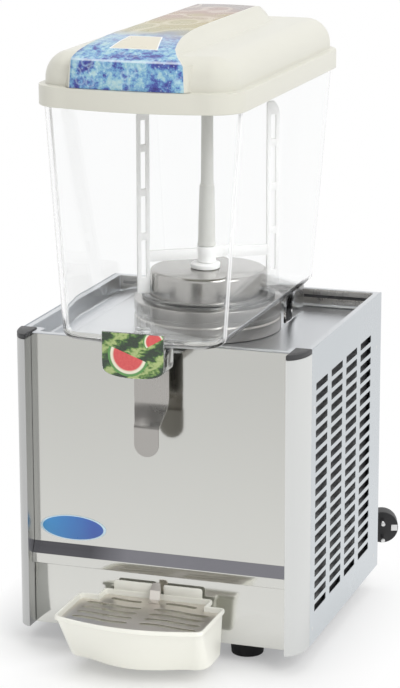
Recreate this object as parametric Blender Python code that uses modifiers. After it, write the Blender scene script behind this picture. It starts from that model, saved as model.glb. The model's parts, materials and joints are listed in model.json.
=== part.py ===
"""Single-bowl cold drink dispenser.

Metres, +Z up, the front faces -Y. The origin is on the floor, under the middle of the box round
the dispenser without its cord. Distances named SETBACK run back from the front panel's face.
"""

import math

import bmesh
import bpy
from mathutils import Matrix, Vector

# Clearances and sheet
GAP = 0.0003
SHEET = 0.0012
OVERRUN = 0.004
MERGE = 0.00001

# Overall cabinet
CABINET_WIDTH = 0.300
CABINET_DEPTH = 0.277
FOOT_HEIGHT = 0.020
DECK_FLOOR_Z = 0.3020
DECK_DEPTH = 0.0193
SIDE_X = CABINET_WIDTH / 2
SHELL_X = SIDE_X - SHEET - GAP
RIM_Z = DECK_FLOOR_Z + DECK_DEPTH
INSIDE_FLOOR_Z = FOOT_HEIGHT + SHEET + GAP
DECK_BOTTOM_Z = DECK_FLOOR_Z - SHEET

# Corner posts and their caps
POST_WIDTH = 0.0167
POST_FORWARD = 0.0168
POST_SETBACK = 0.0161
POST_WALL = 0.0015
CAP_DROP = 0.0033
CAP_THICKNESS = 0.0047
CAP_SPIGOT = 0.008
POST_ARC_STEPS = 8
POST_X = SIDE_X - POST_WIDTH
CAP_BOTTOM_Z = RIM_Z - CAP_DROP

# Drip tray: its tail reaches back to the cabinet between two tabs
TRAY_REACH = 0.110
TRAY_BOW = 0.012
TRAY_RIM_Z = 0.066
TRAY_HEIGHT = 0.050
TRAY_HALF_WIDTH = 0.076
TRAY_BACK_FORWARD = 0.024
TRAY_CORNER = 0.008
TRAY_SIDE_TAPER = 0.0025
TRAY_FRONT_SLOPE = 0.0245
TRAY_BOTTOM_BOW = 0.016
TRAY_BOTTOM_CORNER = 0.014
TRAY_EDGE = 0.003
TRAY_WALL = 0.0025
TRAY_LIP = 0.0015
TRAY_LIP_HEIGHT = 0.0040
TRAY_LEDGE_DROP = 0.0067
TRAY_LEDGE = 0.003
TAIL_INSET = 0.019
TAIL_GAP = 0.005
TAIL_HEIGHT = 0.030
TAIL_LAP = 0.006
TAB_INNER = 0.0062
TAB_INSET = 0.011
TAB_RISE = 0.010
TRAY_CORNER_FORWARD = TRAY_REACH - TRAY_BOW
TRAY_BOTTOM_Z = TRAY_RIM_Z - TRAY_HEIGHT
TRAY_LEDGE_Z = TRAY_RIM_Z - TRAY_LEDGE_DROP
TAIL_HALF_WIDTH = TRAY_HALF_WIDTH - TAIL_INSET
TAIL_BOTTOM_Z = TRAY_RIM_Z - TAIL_HEIGHT

# Drip grille: wavy slots, and a tongue bent up at the back
GRILLE_PLATE = 0.0012
GRILLE_FIT = 0.0008
WAVE_ROWS = 4
WAVE_FIRST_FORWARD = 0.037
WAVE_FRONT_MARGIN = 0.0316
WAVE_SLOT_WIDTH = 0.0055
WAVE_HEIGHT = 0.0022
WAVE_INNER_X = 0.006
WAVE_MARGIN = 0.012
WAVE_BACK_FORWARD = 0.0185
WAVE_BACK_INNER_X = 0.012
WAVE_POINTS = 8
TONGUE_HALF_WIDTH = 0.0054
TONGUE_FOOT_FORWARD = 0.0215
TONGUE_FOLD_FORWARD = 0.0140
TONGUE_FOLD_RISE = 0.0127
TONGUE_TIP_FORWARD = 0.0096
TONGUE_TIP_RISE = 0.0192
WAVE_PITCH = (TRAY_REACH - WAVE_FRONT_MARGIN - WAVE_FIRST_FORWARD) / (WAVE_ROWS - 1)

# Bracket that carries the drip tray's tail
BRACKET_INSET = 0.007
BRACKET_SHEET = 0.0015
BRACKET_DROP = 0.012
BRACKET_TOP_DROP = 0.006
BRACKET_REACH = 0.021
BRACKET_HALF_WIDTH = TAIL_HALF_WIDTH - BRACKET_INSET

# Front panels: the ledge slopes out to a strip that stands ahead of both panels
FRONT_TOP_DROP = 0.0013
STRIP_RISE = 0.0185
STRIP_HEIGHT = 0.0102
LEDGE_HEIGHT = 0.0123
STRIP_FORWARD = 0.006
STRIP_RETURN = 0.004
FRONT_TOP_Z = RIM_Z - FRONT_TOP_DROP
STRIP_BOTTOM_Z = TRAY_RIM_Z + STRIP_RISE
LEDGE_BOTTOM_Z = STRIP_BOTTOM_Z + STRIP_HEIGHT
LEDGE_TOP_Z = LEDGE_BOTTOM_Z + LEDGE_HEIGHT

# Base pan
PAN_LIP = 0.013

# Rear panel
REAR_INSET = 0.012
REAR_SLOT_ROWS = 7
REAR_SLOT_PITCH = 0.012
REAR_SLOT_HEIGHT = 0.005
REAR_SLOT_LENGTH = 0.060
REAR_SLOT_X = 0.062
REAR_SLOT_LOW_Z = 0.160

# Side grilles
GRILLE_ROWS = 19
GRILLE_COLUMNS = 4
GRILLE_LOW_Z = 0.0537
GRILLE_TOP_DROP = 0.04188
GRILLE_SLOT_HEIGHT = 0.0058
GRILLE_SETBACK = 0.0525
GRILLE_BACK_INSET = 0.061
GRILLE_RIB = 0.0135
GRILLE_PITCH_Z = (RIM_Z - GRILLE_TOP_DROP - GRILLE_LOW_Z) / (GRILLE_ROWS - 1)
GRILLE_PITCH_Y = (CABINET_DEPTH - GRILLE_BACK_INSET - GRILLE_SETBACK) / (GRILLE_COLUMNS - 1)

# Feet
FOOT_RADIUS = 0.0175
FOOT_FLARE = 0.0015
FOOT_SIDE_INSET = 0.070
FOOT_FRONT_SETBACK = 0.035
FOOT_BACK_INSET = 0.037

# Deck
DECK_RIM = 0.006
DECK_SHAFT_HOLE = 0.012
DECK_PIPE_CLEARANCE = 0.0006

# Cooling drum on the deck
DRUM_OFFSET = 0.0115
DRUM_RADIUS = 0.059
DRUM_HEIGHT = 0.062
DRUM_EDGE = 0.004
DRUM_BASE_FLANGE = 0.016
PIN_RADIUS = 0.003
PIN_HEIGHT = 0.004
DRUM_SETBACK = CABINET_DEPTH / 2 + DRUM_OFFSET
DRUM_TOP_Z = DECK_FLOOR_Z + DRUM_HEIGHT
DRUM_BASE_RADIUS = DRUM_RADIUS + DRUM_BASE_FLANGE

# Evaporator coil inside the drum
COIL_TUBE_RADIUS = 0.003
EVAPORATOR_INSET = 0.005
EVAPORATOR_RETURN_INSET = 0.010
EVAPORATOR_TURNS = 4
EVAPORATOR_POINTS = 12
EVAPORATOR_LIFT = 0.010
EVAPORATOR_HEADROOM = 0.016
EVAPORATOR_TAIL = 0.009
EVAPORATOR_EXIT_DEG = 200
EVAPORATOR_RETURN_DEG = 235
EVAPORATOR_RADIUS = DRUM_RADIUS - EVAPORATOR_INSET
EVAPORATOR_INNER_RADIUS = EVAPORATOR_RADIUS - EVAPORATOR_RETURN_INSET
EVAPORATOR_PITCH = (DRUM_HEIGHT - EVAPORATOR_LIFT - EVAPORATOR_HEADROOM) / EVAPORATOR_TURNS
EVAPORATOR_LOW_Z = DECK_FLOOR_Z + EVAPORATOR_LIFT
EVAPORATOR_END_Z = DECK_FLOOR_Z - EVAPORATOR_TAIL

# Agitator motor, shaft and magnet
MOTOR_RADIUS = 0.030
MOTOR_HEIGHT = 0.0725
MOTOR_FLANGE_RADIUS = 0.036
MOTOR_FLANGE = 0.0035
SHAFT_RADIUS = 0.004
SHAFT_ENGAGEMENT = 0.018
MAGNET_RADIUS = 0.024
MAGNET_DROP = 0.005
MAGNET_HEIGHT = 0.014
MAGNET_WEB = 0.002
MAGNET_TOP_Z = DRUM_TOP_Z - MAGNET_DROP

# Bowl: it widens all the way up, and the stirrer's arms turn inside it
ARM_CLEARANCE = 0.0018
ARM_WIDTH = 0.0127
ARM_SWEEP = 0.0074
BOWL_LIFT = 0.0306
BOWL_HEIGHT = 0.2394
BOWL_WALL = 0.003
BOWL_FLOOR = 0.0035
BOWL_FLARE = 0.0169
BOWL_LOW_FORWARD = 0.0645
BOWL_FRONT_FLARE = 0.0055
BOWL_LOW_BACK_INSET = 0.0047
BOWL_OVERHANG = 0.0118
BOWL_LOW_BULGE = 0.0035
BOWL_TOP_BULGE = 0.0080
BOWL_LOW_CORNER = 0.025
BOWL_TOP_CORNER = 0.031
BOWL_EDGE = 0.008
BOWL_LEG_OFFSET = 0.036
BOWL_LEG_BACK_INSET = 0.027
BOWL_LEG_WALL = 0.003
BOWL_LEG_INSET = 0.008
GASKET_WALL = 0.0045
GASKET_FLANGE = 0.0038
GASKET_FLANGE_HEIGHT = 0.0022
ARM_INNER = DRUM_RADIUS + ARM_CLEARANCE
ARM_OUTER = ARM_INNER + ARM_WIDTH
BOWL_BOTTOM_Z = DECK_FLOOR_Z + BOWL_LIFT
BOWL_TOP_Z = BOWL_BOTTOM_Z + BOWL_HEIGHT
BOWL_FLOOR_Z = BOWL_BOTTOM_Z + BOWL_FLOOR
BOWL_LOW_HALF_WIDTH = ARM_OUTER + ARM_SWEEP
BOWL_TOP_HALF_WIDTH = BOWL_LOW_HALF_WIDTH + BOWL_FLARE
BOWL_TOP_FORWARD = BOWL_LOW_FORWARD + BOWL_FRONT_FLARE
BOWL_LOW_SETBACK = CABINET_DEPTH - BOWL_LOW_BACK_INSET
BOWL_TOP_SETBACK = CABINET_DEPTH + BOWL_OVERHANG
BOWL_HOLE_RADIUS = DRUM_RADIUS + GASKET_WALL

# Lid: a band round the bowl's rim, a shouldered top and a raised ridge
LID_WALL = 0.0030
LID_FIT = 0.0008
LID_BULGE = 0.0090
LID_LAP = 0.0152
LID_BAND = 0.0196
LID_DOME = 0.0311
LID_STEP = 0.0065
LID_SHOULDER = 0.022
LID_SHOULDER_DROP = 0.018
LID_ARC_STEPS = 3
RIDGE_HEIGHT = 0.015
RIDGE_FRONT_REACH = 0.0016
RIDGE_FRONT_HEIGHT = 0.0286
RIDGE_BACK_INSET = 0.0206
RIDGE_FRONT_RAMP = 0.1254
RIDGE_BACK_RAMP = 0.040
RIDGE_HALF_WIDTH = 0.056
RIDGE_FLANK = 0.025
RIDGE_CORNER = 0.003
RIDGE_BULGE = 0.0029
RAMP_RISE_SHARES = (0, 0.40, 0.78, 0.92, 1)
RAMP_RUN_SHARES = (0, 0.226, 0.487, 0.70, 1)
LID_HALF_WIDTH = BOWL_TOP_HALF_WIDTH + LID_WALL + LID_FIT
LID_FORWARD = BOWL_TOP_FORWARD + LID_WALL + LID_FIT
LID_SETBACK = BOWL_TOP_SETBACK + LID_WALL + LID_FIT
LID_CORNER = BOWL_TOP_CORNER + LID_WALL
LID_BOTTOM_Z = BOWL_TOP_Z - LID_LAP
LID_BAND_TOP_Z = LID_BOTTOM_Z + LID_BAND
LID_TOP_Z = LID_BAND_TOP_Z + LID_DOME
RIDGE_TOP_Z = LID_TOP_Z + RIDGE_HEIGHT
RIDGE_FOLD_Z = LID_BAND_TOP_Z + RIDGE_FRONT_HEIGHT
RIDGE_FRONT_SETBACK = -LID_FORWARD - RIDGE_FRONT_REACH
RIDGE_BACK_SETBACK = LID_SETBACK - RIDGE_BACK_INSET

# The front panel's plane, which centres the dispenser on the origin
PANEL_Y = (TRAY_REACH - LID_SETBACK) / 2

# Impeller and stirrer frame
IMPELLER_RADIUS = 0.0172
IMPELLER_HEIGHT = 0.006
IMPELLER_HUB_RADIUS = 0.0082
IMPELLER_HUB_HEIGHT = 0.012
IMPELLER_PIN_DEPTH = 0.005
IMPELLER_CHANNEL = 0.0025
FLOW_BORE = 0.005
HUB_RADIUS = 0.0106
HUB_LIFT = 0.0066
HUB_HEIGHT = 0.0164
HUB_WEB_DROP = 0.005
BAR_LIFT = 0.010
BAR_HEIGHT = 0.011
FRAME_THICKNESS = 0.004
FRAME_TURN_DEG = 34
ARM_RAIL = 0.0045
ARM_LIFT = 0.0059
ARM_TOP_DROP = 0.040
RUNG_LIFT = 0.013
RUNG_TOP_DROP = 0.042
RUNG_COUNT = 4
RUNG_HEIGHT = 0.0070
IMPELLER_HUB_TOP_Z = DRUM_TOP_Z + IMPELLER_HUB_HEIGHT
HUB_BOTTOM_Z = DRUM_TOP_Z + HUB_LIFT
HUB_TOP_Z = HUB_BOTTOM_Z + HUB_HEIGHT
HUB_WEB_TOP_Z = HUB_TOP_Z - HUB_WEB_DROP
BAR_LOW_Z = DRUM_TOP_Z + BAR_LIFT
BAR_HIGH_Z = BAR_LOW_Z + BAR_HEIGHT
ARM_LOW_Z = BOWL_FLOOR_Z + ARM_LIFT
ARM_HIGH_Z = BOWL_TOP_Z - ARM_TOP_DROP
RUNG_Z = ARM_LOW_Z + RUNG_LIFT
RUNG_PITCH = (ARM_HIGH_Z - RUNG_TOP_DROP - RUNG_Z) / (RUNG_COUNT - 1)

# Spray tube and spray head
TUBE_LOW_RADIUS = 0.0097
TUBE_STEP_RADIUS = 0.0081
TUBE_ABOVE_STEP_RADIUS = 0.0069
TUBE_TOP_RADIUS = 0.0060
TUBE_FLARE_LIFT = 0.028
TUBE_STEP_LIFT = 0.085
TUBE_STEP = 0.002
TUBE_TOP_DROP = 0.032
TUBE_BORE = 0.0040
HEAD_RADIUS = 0.0095
HEAD_HEIGHT = 0.011
HEAD_SHOULDER = 0.0070
HEAD_EDGE = 0.0060
HEAD_SPIGOT = 0.008
HEAD_SPIGOT_WALL = 0.0012
HEAD_PORT = 0.0012
HEAD_PORT_DROP = 0.0070
TUBE_TOP_Z = BOWL_TOP_Z - TUBE_TOP_DROP
TUBE_STEP_Z = DRUM_TOP_Z + TUBE_STEP_LIFT
HEAD_TOP_Z = TUBE_TOP_Z + HEAD_HEIGHT

# Tap: distances named DROP run down from the bowl's underside
TAP_INSET = 0.0225
TAP_RADIUS = 0.014
TAP_SPIGOT_STEP = 0.0035
TAP_SPIGOT_RISE = 0.002
TAP_LOW_WALL = 0.006
TAP_HIGH_WALL = 0.008
TAP_DROP = 0.0306
TAP_SEAT_DROP = 0.0106
BOSS_HALF_WIDTH = 0.011
BOSS_LOW_DROP = 0.0266
BOSS_HIGH_DROP = 0.0066
BOSS_BITE = 0.0045
PIVOT_REACH = 0.0185
PIVOT_DROP = 0.0186
PIVOT_RADIUS = 0.0015
PIVOT_END = 0.0016
CROSSBAR_DROP = 0.0236
CROSSBAR_RADIUS = 0.0015
CROSSBAR_END = 0.0001
CROSSBAR_TRAVEL = 0.0056
TAP_FORWARD = BOWL_LOW_FORWARD - TAP_INSET
TAP_Y = PANEL_Y - TAP_FORWARD
TAP_BOTTOM_Z = BOWL_BOTTOM_Z - TAP_DROP
TAP_SEAT_Z = BOWL_BOTTOM_Z - TAP_SEAT_DROP
TAP_SPIGOT_Z = BOWL_FLOOR_Z + TAP_SPIGOT_RISE
TAP_SPIGOT_RADIUS = TAP_RADIUS - TAP_SPIGOT_STEP
TAP_LOW_BORE = TAP_RADIUS - TAP_LOW_WALL
TAP_HIGH_BORE = TAP_RADIUS - TAP_HIGH_WALL
PIVOT_Y = TAP_Y - PIVOT_REACH
PIVOT_Z = BOWL_BOTTOM_Z - PIVOT_DROP
CROSSBAR_Z = BOWL_BOTTOM_Z - CROSSBAR_DROP

# Plunger, its seal and its spring
PLUNGER_ROD = 0.0025
PLUNGER_FOOT = 0.005
PLUNGER_COLLAR_FIT = 0.0006
PLUNGER_COLLAR_RISE = 0.0022
PLUNGER_COLLAR = 0.0018
PLUNGER_HEAD_RADIUS = 0.008
PLUNGER_HEAD = 0.0035
SEAL_INSET = 0.001
SEAL_HEIGHT = 0.0026
SPRING_INSET = 0.0012
SPRING_WIRE = 0.0004
SPRING_CURLS = 4
SPRING_POINTS = 8

# Tap cover
COVER_CLEARANCE = 0.0025
COVER_DEPTH = 0.028
COVER_HALF_WIDTH = 0.031
COVER_RISE = 0.0144
COVER_SIDE_DROP = 0.0146
COVER_DROP = 0.0296
COVER_WALL = 0.0025
COVER_ARC_STEPS = 6
COVER_FORWARD = BOWL_LOW_FORWARD + BOWL_LOW_BULGE + COVER_CLEARANCE + COVER_WALL
COVER_TOP_Z = BOWL_BOTTOM_Z + COVER_RISE
COVER_SIDE_Z = BOWL_BOTTOM_Z - COVER_SIDE_DROP
COVER_BOTTOM_Z = BOWL_BOTTOM_Z - COVER_DROP

# Tap lever
LEVER_SHEET = 0.0015
LEVER_CLEARANCE = 0.0019
LEVER_EDGE = 0.0004
LEVER_PADDLE_HALF_WIDTH = 0.0125
LEVER_EYE = 0.005
LEVER_EYE_HOLE = 0.0018
LEVER_BACK_REACH = 0.0213
LEVER_PADDLE_REACH = 0.0053
LEVER_ARM_DROP = 0.0321
LEVER_PLATE_DROP = 0.0262
LEVER_FOLD_DROP = 0.0656
LEVER_LOW_FOLD_DROP = 0.0866
LEVER_TIP_DROP = 0.1166
LEVER_TIP_STEPS = 6
EYE_STEPS = 12
EYE_START_DEG = 30
EYE_SWEEP_DEG = 220
LEVER_ARM_X = TAP_RADIUS + LEVER_CLEARANCE
LEVER_ARM_OUTER_X = LEVER_ARM_X + LEVER_SHEET

# Compressor
COMPRESSOR_RADIUS = 0.055
COMPRESSOR_SIDE_CLEARANCE = 0.0165
COMPRESSOR_BACK_INSET = 0.107
COMPRESSOR_TOP_Z = 0.165
COMPRESSOR_DOME = 0.034
COMPRESSOR_FLANGE = 0.005
COMPRESSOR_WAIST = 0.009
COMPRESSOR_BASE = 0.003
STUB_RADIUS = 0.0042
STUB_INSET = 0.025
STUB_RISE = 0.007
STUB_REACH = 0.010
RELAY_DEPTH = 0.024
RELAY_HALF_WIDTH = 0.020
RELAY_LOW_Z = 0.052
RELAY_HIGH_Z = 0.092
COMPRESSOR_BASE_X = COMPRESSOR_RADIUS + COMPRESSOR_FLANGE
COMPRESSOR_X = COMPRESSOR_SIDE_CLEARANCE + COMPRESSOR_BASE_X - SHELL_X
COMPRESSOR_SETBACK = CABINET_DEPTH - COMPRESSOR_BACK_INSET
STUB_OFFSET = COMPRESSOR_RADIUS - STUB_INSET
STUB_TOP_Z = COMPRESSOR_TOP_Z + STUB_RISE

# Condenser and shroud
CONDENSER_SIDE_CLEARANCE = 0.0125
CONDENSER_THICKNESS = 0.024
CONDENSER_FRONT_SETBACK = 0.060
CONDENSER_BACK_INSET = 0.047
CONDENSER_TOP_Z = 0.2305
FIN = 0.006
FIN_COUNT = 14
FIN_SPINE = 0.004
CONDENSER_IN_DROP = 0.0155
CONDENSER_OUT_Z = 0.040
CONDENSER_STUB_INSET = 0.0048
SHROUD_THICKNESS = 0.003
SHROUD_MARGIN = 0.015
CONDENSER_OUTER_X = SHELL_X - CONDENSER_SIDE_CLEARANCE
CONDENSER_INNER_X = CONDENSER_OUTER_X - CONDENSER_THICKNESS
CONDENSER_BACK_SETBACK = CABINET_DEPTH - CONDENSER_BACK_INSET
CONDENSER_IN_Z = CONDENSER_TOP_Z - CONDENSER_IN_DROP
CONDENSER_STUB_X = CONDENSER_INNER_X + CONDENSER_STUB_INSET
FIN_PITCH = (CONDENSER_TOP_Z - INSIDE_FLOOR_Z - FIN) / FIN_COUNT
SHROUD_OUTER_X = CONDENSER_INNER_X - GAP
SHROUD_INNER_X = SHROUD_OUTER_X - SHROUD_THICKNESS
SHROUD_HOLE = (CONDENSER_BACK_SETBACK - CONDENSER_FRONT_SETBACK) / 2 - SHROUD_MARGIN

# Fan
FAN_TIP_CLEARANCE = 0.006
FAN_HUB_RADIUS = 0.014
FAN_SHROUD_GAP = 0.0047
FAN_THICKNESS = 0.012
FAN_BLADES = 5
FAN_BLADE_THICKNESS = 0.0018
FAN_BLADE_CHORD = 0.030
FAN_PITCH_DEG = 24
FAN_SHAFT_RADIUS = 0.003
FAN_SHAFT_ENGAGEMENT = 0.009
FAN_MOTOR_GAP = 0.005
FAN_MOTOR_RADIUS = 0.030
FAN_MOTOR_LENGTH = 0.042
FAN_BRACKET_MARGIN = 0.008
FAN_BRACKET_WIDTH = 0.012
FAN_BRACKET_SHEET = 0.003
FAN_SETBACK = (CONDENSER_FRONT_SETBACK + CONDENSER_BACK_SETBACK) / 2
FAN_Z = (INSIDE_FLOOR_Z + CONDENSER_TOP_Z) / 2
FAN_RADIUS = SHROUD_HOLE - FAN_TIP_CLEARANCE
FAN_OUTER_X = SHROUD_INNER_X - FAN_SHROUD_GAP
FAN_INNER_X = FAN_OUTER_X - FAN_THICKNESS
FAN_MOTOR_OUTER_X = FAN_INNER_X - FAN_MOTOR_GAP
FAN_MOTOR_INNER_X = FAN_MOTOR_OUTER_X - FAN_MOTOR_LENGTH
FAN_SHAFT_INNER_X = FAN_MOTOR_OUTER_X - FAN_SHAFT_ENGAGEMENT
FAN_BRACKET_REACH = SHROUD_HOLE + FAN_BRACKET_MARGIN

# Filter drier and pipes
DRIER_RADIUS = 0.009
DRIER_LENGTH = 0.055
DRIER_STUB_GAP = 0.0218
DRIER_SETBACK = 0.030
PIPE_RADIUS = 0.003
CAPILLARY_RADIUS = 0.0015
CAPILLARY_OFFSET = 0.020
CAPILLARY_RISE_SETBACK = 0.080
PIPE_BEND = 0.012
BEND_POINTS = 3
DRIER_OUTER_X = CONDENSER_STUB_X - DRIER_STUB_GAP
DRIER_INNER_X = DRIER_OUTER_X - DRIER_LENGTH

# Controls on the rear panel
CONTROL_Z = 0.120
SWITCH_EDGE_DISTANCE = 0.0385
SWITCH_PITCH = 0.040
SWITCH_COUNT = 2
SWITCH_FLANGE_X = 0.013
SWITCH_FLANGE_Z = 0.009
SWITCH_FLANGE = 0.002
SWITCH_BODY_X = 0.011
SWITCH_BODY_Z = 0.0072
SWITCH_BODY_DEPTH = 0.014
ROCKER_HALF_WIDTH = 0.0088
ROCKER_HALF_HEIGHT = 0.0050
ROCKER_CREST = 0.0034
ROCKER_VALLEY = 0.0022
ROCKER_KEEL = 0.0025
ROCKER_KEEL_SHARE = 0.8
ROCKER_TILT_DEG = 8
SWITCH_WELL_X = 0.0094
SWITCH_WELL_Z = 0.0060
SWITCH_WELL_DEPTH = 0.0060
KNOB_OFFSET = 0.045
KNOB_RADIUS = 0.013
KNOB_SKIRT_RADIUS = 0.015
KNOB_SKIRT = 0.002
KNOB_HEIGHT = 0.010
KNOB_EDGE = 0.0015
KNOB_BORE = 0.0033
KNOB_BORE_DEPTH = 0.006
THERMOSTAT_HALF_WIDTH = 0.016
THERMOSTAT_DEPTH = 0.022
THERMOSTAT_SPINDLE = 0.003
THERMOSTAT_SPINDLE_LENGTH = 0.0055
SWITCH_PLACES = [SWITCH_EDGE_DISTANCE - SHELL_X + SWITCH_PITCH * i for i in range(SWITCH_COUNT)]
KNOB_X = SWITCH_PLACES[-1] + KNOB_OFFSET

# Cord gland
GLAND_X = 0.040
GLAND_Z = 0.042
GLAND_LENGTH = 0.030
GLAND_RADIUS = 0.0075
GLAND_TIP_RADIUS = 0.0052
GLAND_FLANGE_RADIUS = 0.0105
GLAND_FLANGE = 0.003
GLAND_TAIL = 0.010

# Cord, coil and plug
CORD_RADIUS = 0.0035
COIL_OUTER_RADIUS = 0.0425
COIL_LAYERS = 4
COIL_LAYER_TURNS = 1.75
COIL_TURN_PITCH = 0.0079
COIL_LAYER_PITCH = 0.0077
COIL_POINTS = 24
FLOOR_CLEARANCE = 0.0003
PLUG_ASIDE = 0.0815
PLUG_BACK = 0.1110
PLUG_TURN_DEG = 18
PLUG_RADIUS = 0.0180
PLUG_HEAD = 0.020
PLUG_NECK_RADIUS = 0.011
PLUG_NECK = 0.016
PLUG_TAIL_RADIUS = 0.0052
PLUG_TAIL = 0.014
PLUG_EDGE = 0.0015
PLUG_PIN_RADIUS = 0.0024
PLUG_PIN_LENGTH = 0.019
PLUG_PIN_SPACING = 0.019

# Cord routes: metres to the right of and behind the gland's tip, and above the floor.
# The first and last stretch of each run straight for one diameter.
CORD_LEAD_ROUTE = (
    (0.0000, 0.0003, 0.0420),
    (0.0000, 0.0080, 0.0420),
    (0.0000, 0.0259, 0.0368),
    (0.0000, 0.0384, 0.0229),
    (0.0000, 0.0508, 0.0090),
    (0.0000, 0.0687, 0.0038),
    (0.0000, 0.0757, 0.0038),
)
CORD_TAIL_ROUTE = (
    (0.0000, 0.0903, 0.0269),
    (0.0000, 0.0973, 0.0269),
    (0.0000, 0.1190, 0.0215),
    (0.0000, 0.1380, 0.0115),
    (0.0000, 0.1580, 0.0046),
    (0.0005, 0.1810, 0.0038),
    (0.0100, 0.2030, 0.0038),
    (0.0320, 0.2120, 0.0040),
    (0.0535, 0.2020, 0.0075),
    (0.0615, 0.1800, 0.0140),
    (0.0638, 0.1655, 0.0183),
    (0.0660, 0.1588, 0.0183),
)
ROUTE_POINTS_BETWEEN = 1

# Planes of the cabinet's shell
SHELL_FRONT_Y = PANEL_Y + SHEET + GAP
REAR_Y = PANEL_Y + CABINET_DEPTH
REAR_FACE_Y = REAR_Y - REAR_INSET
REAR_INNER_Y = REAR_FACE_Y - SHEET
DRUM_Y = PANEL_Y + DRUM_SETBACK
GLAND_TIP_Y = REAR_FACE_Y + GAP + GLAND_LENGTH
COIL_X = GLAND_X + CORD_LEAD_ROUTE[-1][0] - COIL_OUTER_RADIUS
COIL_Y = GLAND_TIP_Y + CORD_LEAD_ROUTE[-1][1] + GAP + 2 * CORD_RADIUS

# Segments of round pieces
DRUM_STEPS = 36
SEGMENTS = 24
SMALL_SEGMENTS = 16
THIN_SEGMENTS = 10
SHARP_DEG = 40


def clear_scene():
    for obj in list(bpy.data.objects):
        bpy.data.objects.remove(obj, do_unlink=True)


def collection(name):
    group = bpy.data.collections.new(name)
    bpy.context.scene.collection.children.link(group)
    return group


clear_scene()
PARTS = collection("cold_drink_dispenser")
CUTTERS = collection("cutters")


def finish(name, colour, roughness, metallic=0.0, transmission=0.0):
    material = bpy.data.materials.new(name)
    material.use_nodes = True
    shader = material.node_tree.nodes["Principled BSDF"]
    shader.inputs["Base Color"].default_value = (*colour, 1.0)
    shader.inputs["Roughness"].default_value = roughness
    shader.inputs["Metallic"].default_value = metallic
    shader.inputs["Transmission Weight"].default_value = transmission
    return material


MIRROR_STEEL = finish("mirror_steel", (0.80, 0.80, 0.79), 0.10, 1.0)
BRUSHED_STEEL = finish("brushed_steel", (0.72, 0.72, 0.71), 0.32, 1.0)
POST_METAL = finish("post_metal", (0.62, 0.62, 0.61), 0.35, 1.0)
GALVANISED = finish("galvanised", (0.55, 0.56, 0.57), 0.50, 1.0)
BLACK_PLASTIC = finish("black_plastic", (0.02, 0.02, 0.022), 0.45)
IVORY_PLASTIC = finish("ivory_plastic", (0.86, 0.84, 0.74), 0.30)
WHITE_PLASTIC = finish("white_plastic", (0.88, 0.88, 0.85), 0.40)
CLEAR_PLASTIC = finish("clear_plastic", (0.93, 0.95, 0.95), 0.05, 0.0, 0.9)
RUBBER = finish("rubber", (0.03, 0.03, 0.03), 0.80)
CLEAR_SEAL = finish("seal_rubber", (0.75, 0.75, 0.72), 0.60)
COPPER = finish("copper", (0.80, 0.42, 0.28), 0.30, 1.0)
ALUMINIUM = finish("aluminium", (0.75, 0.76, 0.77), 0.40, 1.0)
BLACK_PAINT = finish("black_paint", (0.03, 0.03, 0.03), 0.35)
PRINT_PLASTIC = finish("print_plastic", (0.60, 0.62, 0.58), 0.25)
SWITCH_GREEN = finish("switch_green", (0.05, 0.35, 0.12), 0.35)


def add_object(name, mesh, material):
    obj = bpy.data.objects.new(name, mesh)
    PARTS.objects.link(obj)
    if material:
        mesh.materials.clear()
        mesh.materials.append(material)
    return obj


def mesh_from(name, shape):
    mesh = bpy.data.meshes.new(name)
    shape.to_mesh(mesh)
    shape.free()
    return mesh


def aim(direction):
    return Vector((0, 0, 1)).rotation_difference(Vector(direction)).to_matrix().to_4x4()


def box(name, low, high, material=None):
    low = Vector(low)
    high = Vector(high)
    shape = bmesh.new()
    bmesh.ops.create_cube(shape, size=1)
    bmesh.ops.scale(shape, vec=high - low, verts=shape.verts)
    obj = add_object(name, mesh_from(name, shape), material)
    obj.location = (low + high) / 2
    return obj


def rod(name, start, end, radius, material=None, end_radius=None, segments=SMALL_SEGMENTS):
    start = Vector(start)
    end = Vector(end)
    shape = bmesh.new()
    bmesh.ops.create_cone(
        shape,
        cap_ends=True,
        segments=segments,
        radius1=radius,
        radius2=radius if end_radius is None else end_radius,
        depth=(end - start).length,
    )
    obj = add_object(name, mesh_from(name, shape), material)
    obj.matrix_world = Matrix.Translation((start + end) / 2) @ aim(end - start)
    obj.data.shade_smooth()
    obj.data.set_sharp_from_angle(angle=math.radians(SHARP_DEG))
    return obj


def turned(name, profile, place, material, direction=(0, 0, 1), closed=False, steps=SEGMENTS):
    """A profile of (radius, height) pairs, run down its outer side, turned about the direction."""
    shape = bmesh.new()
    verts = [shape.verts.new((radius, 0, height)) for radius, height in profile]
    for first, second in zip(verts, verts[1:]):
        shape.edges.new((first, second))
    if closed:
        shape.edges.new((verts[-1], verts[0]))
    obj = add_object(name, mesh_from(name, shape), material)
    obj.matrix_world = Matrix.Translation(place) @ aim(direction)
    screw = obj.modifiers.new("turn", "SCREW")
    screw.steps = steps
    screw.render_steps = steps
    screw.use_merge_vertices = True
    screw.merge_threshold = MERGE
    screw.use_smooth_shade = False
    return obj


def loft(name, loops, material=None):
    """Equal loops of points joined in turn, with the first and last closed by a face."""
    shape = bmesh.new()
    rings = [[shape.verts.new(point) for point in loop] for loop in loops]
    for ring, following in zip(rings, rings[1:]):
        for i in range(len(ring)):
            j = (i + 1) % len(ring)
            shape.faces.new((ring[i], ring[j], following[j], following[i]))
    shape.faces.new(rings[0])
    shape.faces.new(rings[-1])
    bmesh.ops.recalc_face_normals(shape, faces=shape.faces)
    return add_object(name, mesh_from(name, shape), material)


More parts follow.
